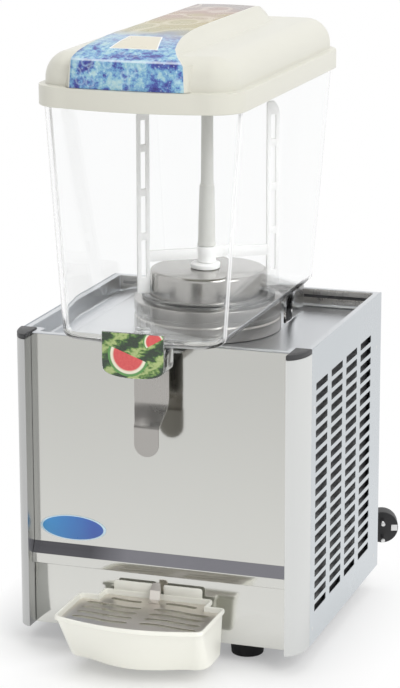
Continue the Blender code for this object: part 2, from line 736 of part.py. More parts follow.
def rounded_loop(half_width, front, back, corner, bulge, z, arc_steps=4, front_steps=6):
    """A rectangle with round corners whose front bows out by the bulge."""
    points = []
    straight = half_width - corner
    for i in range(front_steps + 1):
        share = 2 * i / front_steps - 1
        points.append((straight * share, front - bulge * (1 - share * share), z))
    corners = ((straight, front + corner, -90), (straight, back - corner, 0), (-straight, back - corner, 90))
    for x, y, start in corners:
        for i in range(1 if start == -90 else 0, arc_steps + 1):
            turn = math.radians(start + 90 * i / arc_steps)
            points.append((x + corner * math.cos(turn), y + corner * math.sin(turn), z))
    for i in range(arc_steps):
        turn = math.radians(180 + 90 * i / arc_steps)
        points.append((-straight + corner * math.cos(turn), front + corner + corner * math.sin(turn), z))
    return points


def as_mesh(obj, material):
    """The curve's evaluated mesh as a new object, with its caps welded, in the curve's place."""
    bpy.context.view_layer.update()
    graph = bpy.context.evaluated_depsgraph_get()
    mesh = bpy.data.meshes.new_from_object(obj.evaluated_get(graph))
    name = obj.name
    world = obj.matrix_world.copy()
    bpy.data.objects.remove(obj, do_unlink=True)
    shape = bmesh.new()
    shape.from_mesh(mesh)
    bmesh.ops.remove_doubles(shape, verts=shape.verts, dist=MERGE)
    shape.to_mesh(mesh)
    shape.free()
    solid = add_object(name, mesh, material)
    solid.matrix_world = world
    return solid


def flat(name, outlines, depth, material, world):
    """Closed outlines, the first one outside and the others holes, made a plate of this depth."""
    curve = bpy.data.curves.new(name, "CURVE")
    curve.dimensions = "2D"
    curve.fill_mode = "BOTH"
    curve.extrude = depth / 2
    for outline in outlines:
        spline = curve.splines.new("POLY")
        spline.points.add(len(outline) - 1)
        for point, (x, y) in zip(spline.points, outline):
            point.co = (x, y, 0, 1)
        spline.use_cyclic_u = True
    obj = bpy.data.objects.new(name, curve)
    PARTS.objects.link(obj)
    obj.matrix_world = world
    return as_mesh(obj, material)


def tube(name, points, radius, material, resolution=2):
    curve = bpy.data.curves.new(name, "CURVE")
    curve.dimensions = "3D"
    curve.bevel_depth = radius
    curve.bevel_resolution = resolution
    curve.use_fill_caps = True
    spline = curve.splines.new("POLY")
    spline.points.add(len(points) - 1)
    for point, place in zip(spline.points, points):
        point.co = (*place, 1)
    curve.materials.append(material)
    obj = bpy.data.objects.new(name, curve)
    PARTS.objects.link(obj)
    return obj


def sheet(name, rows, thickness, material):
    """An open surface through rows of (half width, y, z), thickened to its back."""
    shape = bmesh.new()
    lines = [(shape.verts.new((-w, y, z)), shape.verts.new((w, y, z))) for w, y, z in rows]
    for (a, b), (c, d) in zip(lines, lines[1:]):
        shape.faces.new((a, c, d, b))
    obj = add_object(name, mesh_from(name, shape), material)
    solid = obj.modifiers.new("thickness", "SOLIDIFY")
    solid.thickness = thickness
    solid.offset = -1
    solid.use_even_offset = True
    return obj


def helper(obj):
    """Moves an object that only cuts or joins another out of the render."""
    obj.hide_render = True
    obj.display_type = "WIRE"
    PARTS.objects.unlink(obj)
    CUTTERS.objects.link(obj)


def combine(target, others, operation):
    for other in others:
        change = target.modifiers.new(other.name, "BOOLEAN")
        change.operation = operation
        change.solver = "EXACT"
        change.object = other
        helper(other)
    return target


def cut(target, *others):
    return combine(target, others, "DIFFERENCE")


def fuse(target, *others):
    return combine(target, others, "UNION")


def repeat(obj, offset, count):
    array = obj.modifiers.new("repeat", "ARRAY")
    array.use_relative_offset = False
    array.use_constant_offset = True
    array.constant_offset_displace = offset
    array.count = count
    return obj


def body(name, place, *pieces):
    """An empty on a joint's axis that carries the pieces which move together there."""
    pivot = bpy.data.objects.new(name, None)
    PARTS.objects.link(pivot)
    pivot.location = place
    bpy.context.view_layer.update()
    for piece in pieces:
        world = piece.matrix_world.copy()
        piece.parent = pivot
        piece.matrix_parent_inverse = Matrix.Translation(place).inverted()
        piece.matrix_world = world
    return pivot


def behind(setback):
    return PANEL_Y + setback


def eased(size):
    """How far in from both faces the middle of a round edge of this size stands."""
    return size * (1 - math.cos(math.pi / 4))


def post_notches(name, low_z, high_z):
    """Blocks that clear the corner posts out of a tray that fills the cabinet."""
    notches = []
    for side, inner, outer in (("left", -SIDE_X, -POST_X + GAP), ("right", POST_X - GAP, SIDE_X)):
        low = (inner, behind(-OVERRUN), low_z - OVERRUN)
        high = (outer, behind(POST_SETBACK + GAP), high_z + OVERRUN)
        notches.append(box(f"{name}_{side}_notch", low, high))
    return notches


def open_box(name, low, high, wall, floor, material):
    """A tray: a block with its inside cut away from above."""
    block = box(name, low, high, material)
    inside_low = (low[0] + wall, low[1] + wall, low[2] + floor)
    inside_high = (high[0] - wall, high[1] - wall, high[2] + OVERRUN)
    return cut(block, box(f"{name}_inside", inside_low, inside_high))


def base_pan():
    low = (-SHELL_X, SHELL_FRONT_Y, FOOT_HEIGHT)
    high = (SHELL_X, REAR_INNER_Y - GAP, FOOT_HEIGHT + PAN_LIP)
    pan = open_box("base_pan", low, high, SHEET, SHEET, GALVANISED)
    cut(pan, *post_notches("pan", low[2], high[2]))


def feet():
    x_reach = SIDE_X - FOOT_SIDE_INSET
    for y_name, setback in (("front", FOOT_FRONT_SETBACK), ("rear", CABINET_DEPTH - FOOT_BACK_INSET)):
        for x_name, x in (("left", -x_reach), ("right", x_reach)):
            low = (x, behind(setback), 0)
            high = (x, behind(setback), FOOT_HEIGHT - GAP)
            rod(f"foot_{y_name}_{x_name}", low, high, FOOT_RADIUS - FOOT_FLARE, RUBBER, FOOT_RADIUS)


def side_panels():
    for side, inner, outer in (("left", -SIDE_X, -SIDE_X + SHEET), ("right", SIDE_X - SHEET, SIDE_X)):
        low = (inner, behind(POST_SETBACK + GAP), FOOT_HEIGHT)
        high = (outer, REAR_Y, RIM_Z)
        panel = box(f"side_panel_{side}", low, high, MIRROR_STEEL)
        slot_length = GRILLE_PITCH_Y - GRILLE_RIB
        slot_low = (inner - OVERRUN, behind(GRILLE_SETBACK) - slot_length / 2, GRILLE_LOW_Z)
        slot_high = (outer + OVERRUN, slot_low[1] + slot_length, GRILLE_LOW_Z + GRILLE_SLOT_HEIGHT)
        slots = box(f"grille_slots_{side}", slot_low, slot_high)
        repeat(slots, (0, 0, GRILLE_PITCH_Z), GRILLE_ROWS)
        repeat(slots, (0, GRILLE_PITCH_Y, 0), GRILLE_COLUMNS)
        cut(panel, slots)


def front_panels():
    half = POST_X - GAP
    outer = behind(-STRIP_FORWARD)
    rows = (
        (half, PANEL_Y, FRONT_TOP_Z),
        (half, PANEL_Y, LEDGE_TOP_Z),
        (half, outer, LEDGE_BOTTOM_Z),
        (half, outer, STRIP_BOTTOM_Z),
        (half, behind(STRIP_RETURN), STRIP_BOTTOM_Z),
    )
    sheet("front_panel", rows, SHEET, MIRROR_STEEL)
    low = (-half, PANEL_Y, FOOT_HEIGHT)
    high = (half, behind(SHEET), STRIP_BOTTOM_Z - GAP)
    box("lower_front_panel", low, high, MIRROR_STEEL)


def rear_panel():
    low = (-SHELL_X, REAR_INNER_Y, FOOT_HEIGHT)
    high = (SHELL_X, REAR_FACE_Y, DECK_BOTTOM_Z - GAP)
    panel = box("rear_panel", low, high, GALVANISED)
    for side, x in (("left", -REAR_SLOT_X), ("right", REAR_SLOT_X)):
        slot_low = (x - REAR_SLOT_LENGTH / 2, REAR_INNER_Y - OVERRUN, REAR_SLOT_LOW_Z)
        slot_high = (x + REAR_SLOT_LENGTH / 2, REAR_FACE_Y + OVERRUN, REAR_SLOT_LOW_Z + REAR_SLOT_HEIGHT)
        slots = box(f"rear_slots_{side}", slot_low, slot_high)
        repeat(slots, (0, 0, REAR_SLOT_PITCH), REAR_SLOT_ROWS)
        cut(panel, slots)
    for i, x in enumerate(SWITCH_PLACES):
        low = (x - SWITCH_BODY_X - GAP, REAR_INNER_Y - OVERRUN, CONTROL_Z - SWITCH_BODY_Z - GAP)
        high = (x + SWITCH_BODY_X + GAP, REAR_FACE_Y + OVERRUN, CONTROL_Z + SWITCH_BODY_Z + GAP)
        cut(panel, box(f"switch_hole_{i + 1}", low, high))
    round_holes = (
        ("spindle_hole", KNOB_X, CONTROL_Z, THERMOSTAT_SPINDLE + GAP),
        ("gland_hole", GLAND_X, GLAND_Z, GLAND_RADIUS + GAP),
    )
    for name, x, z, radius in round_holes:
        start = (x, REAR_INNER_Y - OVERRUN, z)
        end = (x, REAR_FACE_Y + OVERRUN, z)
        cut(panel, rod(name, start, end, radius))


def post_outline(inset):
    """The post's plan from its front inner edge: an upright inner side and a quarter-oval front."""
    across = POST_WIDTH - 2 * inset
    along = POST_FORWARD + POST_SETBACK - 2 * inset
    corner = (POST_X + inset, behind(POST_SETBACK) - inset)
    points = [corner]
    for i in range(POST_ARC_STEPS + 1):
        turn = math.pi / 2 * (i / POST_ARC_STEPS - 1)
        points.append((corner[0] + across * math.cos(turn), corner[1] + along * math.sin(turn)))
    return points


def corner_posts():
    for side, sign in (("left", -1), ("right", 1)):
        outer = [(sign * x, y) for x, y in post_outline(0)]
        inner = [(sign * x, y) for x, y in post_outline(POST_WALL)]
        spigot = [(sign * x, y) for x, y in post_outline(POST_WALL + GAP)]
        height = CAP_BOTTOM_Z - GAP - FOOT_HEIGHT
        middle = Matrix.Translation((0, 0, FOOT_HEIGHT + height / 2))
        flat(f"corner_post_{side}", (outer, inner), height, POST_METAL, middle)
        cap_middle_z = CAP_BOTTOM_Z + CAP_THICKNESS / 2
        middle = Matrix.Translation((0, 0, cap_middle_z))
        cap = flat(f"corner_cap_{side}", (outer,), CAP_THICKNESS, BLACK_PLASTIC, middle)
        depth = CAP_SPIGOT + CAP_THICKNESS / 2
        middle = Matrix.Translation((0, 0, cap_middle_z - depth / 2))
        fuse(cap, flat(f"cap_spigot_{side}", (spigot,), depth, BLACK_PLASTIC, middle))


def on_drum_circle(radius, degrees):
    turn = math.radians(degrees)
    return radius * math.cos(turn), DRUM_Y + radius * math.sin(turn)


def top_deck():
    low = (-SHELL_X, SHELL_FRONT_Y, DECK_BOTTOM_Z)
    high = (SHELL_X, REAR_Y, RIM_Z - GAP)
    deck = open_box("top_deck", low, high, DECK_RIM, SHEET, MIRROR_STEEL)
    cut(deck, *post_notches("deck", low[2], high[2]))
    holes = [("shaft_hole", 0, DRUM_Y, DECK_SHAFT_HOLE)]
    pipe_hole = COIL_TUBE_RADIUS + DECK_PIPE_CLEARANCE
    for name, radius, degrees in (
        ("pipe_hole_low", EVAPORATOR_RADIUS, EVAPORATOR_EXIT_DEG),
        ("pipe_hole_high", EVAPORATOR_INNER_RADIUS, EVAPORATOR_RETURN_DEG),
    ):
        holes.append((name, *on_drum_circle(radius, degrees), pipe_hole))
    for name, x, y, radius in holes:
        start = (x, y, DECK_BOTTOM_Z - OVERRUN)
        end = (x, y, DECK_FLOOR_Z + OVERRUN)
        cut(deck, rod(name, start, end, radius))


def drum():
    low = DECK_FLOOR_Z + GAP
    inner = DRUM_RADIUS - SHEET
    ceiling = DRUM_TOP_Z - SHEET
    profile = (
        (0, DRUM_TOP_Z + PIN_HEIGHT),
        (PIN_RADIUS, DRUM_TOP_Z + PIN_HEIGHT),
        (PIN_RADIUS, DRUM_TOP_Z),
        (DRUM_RADIUS - DRUM_EDGE, DRUM_TOP_Z),
        (DRUM_RADIUS - eased(DRUM_EDGE), DRUM_TOP_Z - eased(DRUM_EDGE)),
        (DRUM_RADIUS, DRUM_TOP_Z - DRUM_EDGE),
        (DRUM_RADIUS, low),
        (inner, low),
        (inner, ceiling - DRUM_EDGE),
        (inner - DRUM_EDGE, ceiling),
        (0, ceiling),
    )
    turned("drum", profile, (0, DRUM_Y, 0), MIRROR_STEEL, steps=DRUM_STEPS)
    top = BOWL_BOTTOM_Z - GAP
    profile = (
        (DRUM_BASE_RADIUS, top),
        (DRUM_BASE_RADIUS, low),
        (DRUM_RADIUS + GAP, low),
        (DRUM_RADIUS + GAP, top),
    )
    turned("drum_base", profile, (0, DRUM_Y, 0), BRUSHED_STEEL, closed=True, steps=DRUM_STEPS)


def evaporator_coil():
    """Copper tube up through the deck, round inside the drum wall and back down nearer the axis."""
    steps = EVAPORATOR_TURNS * EVAPORATOR_POINTS
    swing = EVAPORATOR_RETURN_DEG - EVAPORATOR_EXIT_DEG
    exit_x, exit_y = on_drum_circle(EVAPORATOR_RADIUS, EVAPORATOR_EXIT_DEG)
    points = [(exit_x, exit_y, EVAPORATOR_END_Z)]
    for i in range(steps + 1):
        degrees = EVAPORATOR_EXIT_DEG + 360 * i / EVAPORATOR_POINTS
        x, y = on_drum_circle(EVAPORATOR_RADIUS, degrees)
        points.append((x, y, EVAPORATOR_LOW_Z + EVAPORATOR_PITCH * i / EVAPORATOR_POINTS))
    top = points[-1][2]
    for i in (1, 2):
        share = i / 2
        radius = EVAPORATOR_RADIUS + (EVAPORATOR_INNER_RADIUS - EVAPORATOR_RADIUS) * share
        x, y = on_drum_circle(radius, EVAPORATOR_EXIT_DEG + swing * share)
        points.append((x, y, top + COIL_TUBE_RADIUS * (1 - share)))
    points.append((x, y, EVAPORATOR_END_Z))
    tube("evaporator_coil", points, COIL_TUBE_RADIUS, COPPER, 1)


def agitator_drive():
    top = DECK_BOTTOM_Z - GAP
    bore = SHAFT_RADIUS + GAP
    bore_bottom = top - SHAFT_ENGAGEMENT
    motor_bottom = top - MOTOR_HEIGHT
    profile = (
        (0, bore_bottom),
        (bore, bore_bottom),
        (bore, top),
        (MOTOR_FLANGE_RADIUS, top),
        (MOTOR_FLANGE_RADIUS, top - MOTOR_FLANGE),
        (MOTOR_RADIUS, top - MOTOR_FLANGE),
        (MOTOR_RADIUS, motor_bottom),
        (0, motor_bottom),
    )
    turned("agitator_motor", profile, (0, DRUM_Y, 0), GALVANISED)
    web_z = MAGNET_TOP_Z - MAGNET_WEB
    start = (0, DRUM_Y, bore_bottom + GAP)
    end = (0, DRUM_Y, web_z - GAP)
    shaft = rod("drive_shaft", start, end, SHAFT_RADIUS, BRUSHED_STEEL)
    low = MAGNET_TOP_Z - MAGNET_HEIGHT
    profile = (
        (0, MAGNET_TOP_Z),
        (MAGNET_RADIUS, MAGNET_TOP_Z),
        (MAGNET_RADIUS, low),
        (bore, low),
        (bore, web_z),
        (0, web_z),
    )
    magnet = turned("drive_magnet", profile, (0, DRUM_Y, 0), BLACK_PAINT)
    body("drive", (0, DRUM_Y, low), shaft, magnet)


def impeller():
    low = DRUM_TOP_Z + GAP
    shoulder = low + IMPELLER_HEIGHT
    profile = (
        (FLOW_BORE, IMPELLER_HUB_TOP_Z),
        (IMPELLER_HUB_RADIUS, IMPELLER_HUB_TOP_Z),
        (IMPELLER_HUB_RADIUS, shoulder),
        (IMPELLER_RADIUS, shoulder),
        (IMPELLER_RADIUS, low),
        (PIN_RADIUS + GAP, low),
        (PIN_RADIUS + GAP, low + IMPELLER_PIN_DEPTH),
        (FLOW_BORE, low + IMPELLER_PIN_DEPTH),
    )
    wheel = turned("impeller", profile, (0, DRUM_Y, 0), WHITE_PLASTIC, closed=True)
    half = IMPELLER_CHANNEL / 2
    reach = IMPELLER_RADIUS + OVERRUN
    channel_z = shoulder - IMPELLER_CHANNEL
    for name, half_x, half_y in (("impeller_channel_x", reach, half), ("impeller_channel_y", half, reach)):
        low = (-half_x, DRUM_Y - half_y, channel_z - half)
        cut(wheel, box(name, low, (half_x, DRUM_Y + half_y, channel_z + half)))
    return wheel


def stirrer_outline():
    """The frame's outline: two tall arms joined by a bar over the drum."""
    right = (
        (ARM_INNER, BAR_LOW_Z),
        (ARM_INNER, ARM_LOW_Z),
        (ARM_OUTER, ARM_LOW_Z),
        (ARM_OUTER, ARM_HIGH_Z - ARM_RAIL * 2),
        (ARM_OUTER - ARM_RAIL, ARM_HIGH_Z),
        (ARM_INNER, ARM_HIGH_Z),
        (ARM_INNER, BAR_HIGH_Z),
    )
    return list(right) + [(-x, z) for x, z in reversed(right)]


def stirrer_windows(world):
    """Blocks that open each arm between its rungs, in the upright frame's own plane."""
    windows = []
    for side in (-1, 1):
        inner, outer = sorted((side * (ARM_INNER + ARM_RAIL), side * (ARM_OUTER - ARM_RAIL)))
        for i in range(RUNG_COUNT):
            low_z = RUNG_Z + RUNG_PITCH * i + RUNG_HEIGHT / 2
            high_z = min(low_z + RUNG_PITCH - RUNG_HEIGHT, ARM_HIGH_Z - ARM_RAIL * 3)
            low = (inner, low_z, -FRAME_THICKNESS)
            window = box(f"window_{side}_{i + 1}", low, (outer, high_z, FRAME_THICKNESS))
            window.matrix_world = world @ window.matrix_basis
            windows.append(window)
    return windows


def stirrer():
    frame_matrix = (
        Matrix.Translation((0, DRUM_Y, 0))
        @ Matrix.Rotation(math.radians(FRAME_TURN_DEG), 4, "Z")
        @ Matrix.Rotation(math.radians(90), 4, "X")
    )
    frame = flat("stirrer_frame", (stirrer_outline(),), FRAME_THICKNESS, WHITE_PLASTIC, frame_matrix)
    cut(frame, *stirrer_windows(frame_matrix))
    fuse(frame, rod("hub", (0, DRUM_Y, HUB_BOTTOM_Z), (0, DRUM_Y, HUB_TOP_Z), HUB_RADIUS))
    socket = IMPELLER_HUB_RADIUS + GAP
    bores = (
        ("hub_low_socket", HUB_BOTTOM_Z - OVERRUN, IMPELLER_HUB_TOP_Z + GAP, socket),
        ("hub_bore", IMPELLER_HUB_TOP_Z, HUB_WEB_TOP_Z + GAP, FLOW_BORE),
        ("hub_high_socket", HUB_WEB_TOP_Z, HUB_TOP_Z + OVERRUN, socket),
    )
    for name, low, high, radius in bores:
        cut(frame, rod(name, (0, DRUM_Y, low), (0, DRUM_Y, high), radius))
    spray = spray_tube()
    head = spray_head()
    body("stirrer", (0, DRUM_Y, DRUM_TOP_Z), impeller(), frame, spray, head)


def spray_tube():
    profile = (
        (TUBE_BORE, TUBE_TOP_Z),
        (TUBE_TOP_RADIUS, TUBE_TOP_Z),
        (TUBE_ABOVE_STEP_RADIUS, TUBE_STEP_Z + TUBE_STEP),
        (TUBE_STEP_RADIUS, TUBE_STEP_Z),
        (TUBE_LOW_RADIUS, DRUM_TOP_Z + TUBE_FLARE_LIFT),
        (HUB_RADIUS, HUB_TOP_Z + GAP),
        (IMPELLER_HUB_RADIUS, HUB_TOP_Z + GAP),
        (IMPELLER_HUB_RADIUS, HUB_WEB_TOP_Z + GAP),
        (TUBE_BORE, HUB_WEB_TOP_Z + GAP),
    )
    return turned("spray_tube", profile, (0, DRUM_Y, 0), WHITE_PLASTIC, closed=True, steps=SMALL_SEGMENTS)


def spray_head():
    low = TUBE_TOP_Z + GAP
    spigot = TUBE_BORE - GAP
    throat = spigot - HEAD_SPIGOT_WALL
    port_z = HEAD_TOP_Z - HEAD_PORT_DROP
    ceiling = port_z + HEAD_PORT
    profile = (
        (0, HEAD_TOP_Z),
        (HEAD_SHOULDER, HEAD_TOP_Z - HEAD_PORT),
        (HEAD_RADIUS, HEAD_TOP_Z - HEAD_EDGE),
        (HEAD_RADIUS, low),
        (spigot, low),
        (spigot, low - HEAD_SPIGOT),
        (throat, low - HEAD_SPIGOT),
        (throat, ceiling),
        (0, ceiling),
    )
    head = turned("spray_head", profile, (0, DRUM_Y, 0), WHITE_PLASTIC, steps=SMALL_SEGMENTS)
    reach = HEAD_RADIUS + OVERRUN
    for name, x, y in (("spray_port_x", reach, 0), ("spray_port_y", 0, reach)):
        start = (-x, DRUM_Y - y, port_z)
        cut(head, rod(name, start, (x, DRUM_Y + y, port_z), HEAD_PORT, segments=THIN_SEGMENTS))
    return head


def bowl_loop(z, inset):
    """The bowl's plan at a height, drawn in by the inset: it widens all the way up."""
    share = (z - BOWL_BOTTOM_Z) / BOWL_HEIGHT
    half_width = BOWL_LOW_HALF_WIDTH + (BOWL_TOP_HALF_WIDTH - BOWL_LOW_HALF_WIDTH) * share
    forward = BOWL_LOW_FORWARD + (BOWL_TOP_FORWARD - BOWL_LOW_FORWARD) * share
    setback = BOWL_LOW_SETBACK + (BOWL_TOP_SETBACK - BOWL_LOW_SETBACK) * share
    corner = BOWL_LOW_CORNER + (BOWL_TOP_CORNER - BOWL_LOW_CORNER) * share
    bulge = BOWL_LOW_BULGE + (BOWL_TOP_BULGE - BOWL_LOW_BULGE) * share
    return rounded_loop(
        half_width - inset, behind(inset - forward), behind(setback - inset), corner - inset, bulge, z
    )


def bowl():
    edge_z = BOWL_BOTTOM_Z + BOWL_EDGE
    bend = eased(BOWL_EDGE)
    outer = (
        bowl_loop(BOWL_BOTTOM_Z, BOWL_EDGE),
        bowl_loop(BOWL_BOTTOM_Z + bend, bend),
        bowl_loop(edge_z, 0),
        bowl_loop(BOWL_TOP_Z, 0),
    )
    inner_bend = bend + BOWL_WALL
    inner = (
        bowl_loop(BOWL_TOP_Z, BOWL_WALL),
        bowl_loop(edge_z + BOWL_WALL / 2, BOWL_WALL),
        bowl_loop(BOWL_FLOOR_Z + bend, inner_bend),
        bowl_loop(BOWL_FLOOR_Z, BOWL_EDGE + BOWL_WALL),
    )
    shell = loft("bowl", outer + inner, CLEAR_PLASTIC)
    legs = []
    for side, sign in (("left", -1), ("right", 1)):
        outer_x = sign * (BOWL_LOW_HALF_WIDTH - BOWL_LEG_INSET)
        inner_x = outer_x - sign * BOWL_LEG_WALL
        low = (min(outer_x, inner_x), DRUM_Y + BOWL_LEG_OFFSET, DECK_FLOOR_Z + GAP)
        high = (max(outer_x, inner_x), REAR_Y - BOWL_LEG_BACK_INSET, BOWL_BOTTOM_Z + BOWL_FLOOR / 2)
        legs.append(box(f"bowl_leg_{side}", low, high))
    fuse(shell, *legs)
    low_z = BOWL_BOTTOM_Z - OVERRUN
    high_z = BOWL_FLOOR_Z + OVERRUN
    holes = (
        ("drum_hole", DRUM_Y, BOWL_HOLE_RADIUS, DRUM_STEPS),
        ("tap_hole", TAP_Y, TAP_SPIGOT_RADIUS + GAP, SMALL_SEGMENTS),
    )
    for name, y, radius, segments in holes:
        cut(shell, rod(name, (0, y, low_z), (0, y, high_z), radius, segments=segments))
    outer_radius = BOWL_HOLE_RADIUS - GAP
    flange_z = BOWL_FLOOR_Z + GAP
    top = flange_z + GASKET_FLANGE_HEIGHT
    profile = (
        (outer_radius + GASKET_FLANGE, top),
        (outer_radius + GASKET_FLANGE, flange_z),
        (outer_radius, flange_z),
        (outer_radius, BOWL_BOTTOM_Z),
        (DRUM_RADIUS + GAP, BOWL_BOTTOM_Z),
        (DRUM_RADIUS + GAP, top),
    )
    gasket = turned("bowl_gasket", profile, (0, DRUM_Y, 0), CLEAR_SEAL, closed=True, steps=DRUM_STEPS)
    return shell, gasket


def lid_loop(z, inset):
    return rounded_loop(
        LID_HALF_WIDTH - inset,
        behind(inset - LID_FORWARD),
        behind(LID_SETBACK - inset),
        LID_CORNER - inset,
        LID_BULGE,
        z,
    )


def lid_shoulder(inset, top_z):
    """Loops that round the lid's sides over to its top."""
    loops = []
    for i in range(LID_ARC_STEPS + 1):
        turn = math.pi / 2 * i / LID_ARC_STEPS
        z = top_z - LID_SHOULDER_DROP * (1 - math.sin(turn))
        loops.append(lid_loop(z, inset + LID_SHOULDER * (1 - math.cos(turn))))
    return loops


def ridge_loop(z, share, run_share, inset):
    """The ridge's plan at a share of its rise: narrower, with its front drawn back along the ramp."""
    half_width = RIDGE_HALF_WIDTH - RIDGE_FLANK * share
    front_setback = RIDGE_FRONT_SETBACK + RIDGE_FRONT_RAMP * run_share
    back_setback = RIDGE_BACK_SETBACK - RIDGE_BACK_RAMP * share
    return rounded_loop(
        half_width - inset,
        behind(front_setback + inset),
        behind(back_setback - inset),
        RIDGE_CORNER,
        RIDGE_BULGE * (1 - run_share),
        z,
        arc_steps=3,
    )


def ridge(name, inset, foot_z):
    """The ridge, or the hollow that an inset leaves in it: an upright front, a curved ramp and a flat top."""
    rise = RIDGE_TOP_Z - RIDGE_FOLD_Z
    loops = [ridge_loop(foot_z, 0, 0, inset)]
    for share, run_share in zip(RAMP_RISE_SHARES, RAMP_RUN_SHARES):
        loops.append(ridge_loop(RIDGE_FOLD_Z + rise * share - inset, share, run_share, inset))
    return loft(name, loops)


def lid():
    ledge_z = BOWL_TOP_Z + GAP
    upper_inner = LID_STEP + LID_WALL
    hollow = [
        lid_loop(LID_BOTTOM_Z - OVERRUN, LID_WALL),
        lid_loop(ledge_z, LID_WALL),
        lid_loop(ledge_z, upper_inner),
    ]
    hollow += lid_shoulder(upper_inner, LID_TOP_Z - LID_WALL)
    outside = [
        lid_loop(LID_BOTTOM_Z, 0),
        lid_loop(LID_BAND_TOP_Z, 0),
        lid_loop(LID_BAND_TOP_Z, LID_STEP),
    ]
    outside += lid_shoulder(LID_STEP, LID_TOP_Z)
    shell = loft("lid", outside, IVORY_PLASTIC)
    fuse(shell, ridge("ridge_outside", 0, LID_BAND_TOP_Z - LID_WALL / 2))
    cut(shell, loft("lid_hollow", hollow))
    return cut(shell, ridge("ridge_hollow", LID_WALL, LID_BAND_TOP_Z - LID_BAND / 2))


def tap_body():
    top = BOWL_BOTTOM_Z - GAP
    profile = (
        (TAP_HIGH_BORE, TAP_SPIGOT_Z),
        (TAP_SPIGOT_RADIUS, TAP_SPIGOT_Z),
        (TAP_SPIGOT_RADIUS, top),
        (TAP_RADIUS, top),
        (TAP_RADIUS, TAP_BOTTOM_Z),
        (TAP_LOW_BORE, TAP_BOTTOM_Z),
        (TAP_LOW_BORE, TAP_SEAT_Z),
        (TAP_HIGH_BORE, TAP_SEAT_Z),
    )
    housing = turned("tap_body", profile, (0, TAP_Y, 0), CLEAR_PLASTIC, closed=True)
    low = (-BOSS_HALF_WIDTH, behind(COVER_WALL + GAP - COVER_FORWARD), BOWL_BOTTOM_Z - BOSS_LOW_DROP)
    high = (BOSS_HALF_WIDTH, TAP_Y - TAP_RADIUS + BOSS_BITE, BOWL_BOTTOM_Z - BOSS_HIGH_DROP)
    fuse(housing, box("tap_boss", low, high))
    reach = BOSS_HALF_WIDTH + OVERRUN
    pivot_hole = rod("pivot_hole", (-reach, PIVOT_Y, PIVOT_Z), (reach, PIVOT_Y, PIVOT_Z), PIVOT_RADIUS + GAP)
    half = CROSSBAR_RADIUS + GAP * 2
    reach = TAP_RADIUS + OVERRUN
    slot_low = (-reach, TAP_Y - half, CROSSBAR_Z - half)
    slot_high = (reach, TAP_Y + half, CROSSBAR_Z + CROSSBAR_TRAVEL + half)
    return cut(housing, pivot_hole, box("crossbar_slot", slot_low, slot_high))


def tap_plunger():
    head_low = TAP_SPIGOT_Z + GAP + SEAL_HEIGHT + GAP
    collar_radius = TAP_LOW_BORE - PLUNGER_COLLAR_FIT
    collar_bottom = CROSSBAR_Z + PLUNGER_COLLAR_RISE
    collar_top = collar_bottom + PLUNGER_COLLAR
    foot_z = CROSSBAR_Z - PLUNGER_FOOT
    profile = (
        (0, head_low + PLUNGER_HEAD),
        (PLUNGER_HEAD_RADIUS, head_low + PLUNGER_HEAD),
        (PLUNGER_HEAD_RADIUS, head_low),
        (PLUNGER_ROD, head_low),
        (PLUNGER_ROD, collar_top),
        (collar_radius, collar_top),
        (collar_radius, collar_bottom),
        (PLUNGER_ROD, collar_bottom),
        (PLUNGER_ROD, foot_z),
        (0, foot_z),
    )
    plunger = turned("tap_plunger", profile, (0, TAP_Y, 0), WHITE_PLASTIC, steps=SMALL_SEGMENTS)
    reach = LEVER_ARM_OUTER_X + CROSSBAR_END
    start = (-reach, TAP_Y, CROSSBAR_Z)
    end = (reach, TAP_Y, CROSSBAR_Z)
    fuse(plunger, rod("crossbar", start, end, CROSSBAR_RADIUS, segments=THIN_SEGMENTS))
    low = TAP_SPIGOT_Z + GAP
    seal_radius = TAP_SPIGOT_RADIUS - SEAL_INSET
    profile = (
        (seal_radius, low + SEAL_HEIGHT),
        (seal_radius, low),
        (PLUNGER_ROD + GAP, low),
        (PLUNGER_ROD + GAP, low + SEAL_HEIGHT),
    )
    seal = turned("tap_seal", profile, (0, TAP_Y, 0), CLEAR_SEAL, closed=True, steps=SMALL_SEGMENTS)
    first = collar_top + SPRING_WIRE + GAP
    last = TAP_SEAT_Z - SPRING_WIRE - GAP
    count = SPRING_CURLS * SPRING_POINTS
    curl_radius = TAP_LOW_BORE - SPRING_INSET
    points = []
    for i in range(count + 1):
        turn = 2 * math.pi * i / SPRING_POINTS
        x = curl_radius * math.cos(turn)
        y = TAP_Y + curl_radius * math.sin(turn)
        points.append((x, y, first + (last - first) * i / count))
    spring = tube("tap_spring", points, SPRING_WIRE, BRUSHED_STEEL, 1)
    gap = (last - first) / SPRING_CURLS - 2 * SPRING_WIRE
    print(f"tap_spring least gap to itself {1000 * gap:.2f} mm")
    body("plunger", (0, TAP_Y, CROSSBAR_Z), plunger, seal, spring)


def cover_outline(inset, bottom_z):
    """The tap cover from the front: square shoulders over a rounded lower edge."""
    half = COVER_HALF_WIDTH - inset
    points = [(-half, COVER_TOP_Z - inset), (-half, COVER_SIDE_Z)]
    for i in range(1, COVER_ARC_STEPS):
        turn = math.pi * i / COVER_ARC_STEPS
        drop = (COVER_SIDE_Z - bottom_z) * math.sqrt(math.sin(turn))
        points.append((-half * math.cos(turn), COVER_SIDE_Z - drop))
    return points + [(half, COVER_SIDE_Z), (half, COVER_TOP_Z - inset)]


def upright(front_y, depth):
    """Turns a flat outline upright, facing the front, from this plane back."""
    return Matrix.Translation((0, front_y + depth / 2, 0)) @ Matrix.Rotation(math.radians(90), 4, "X")


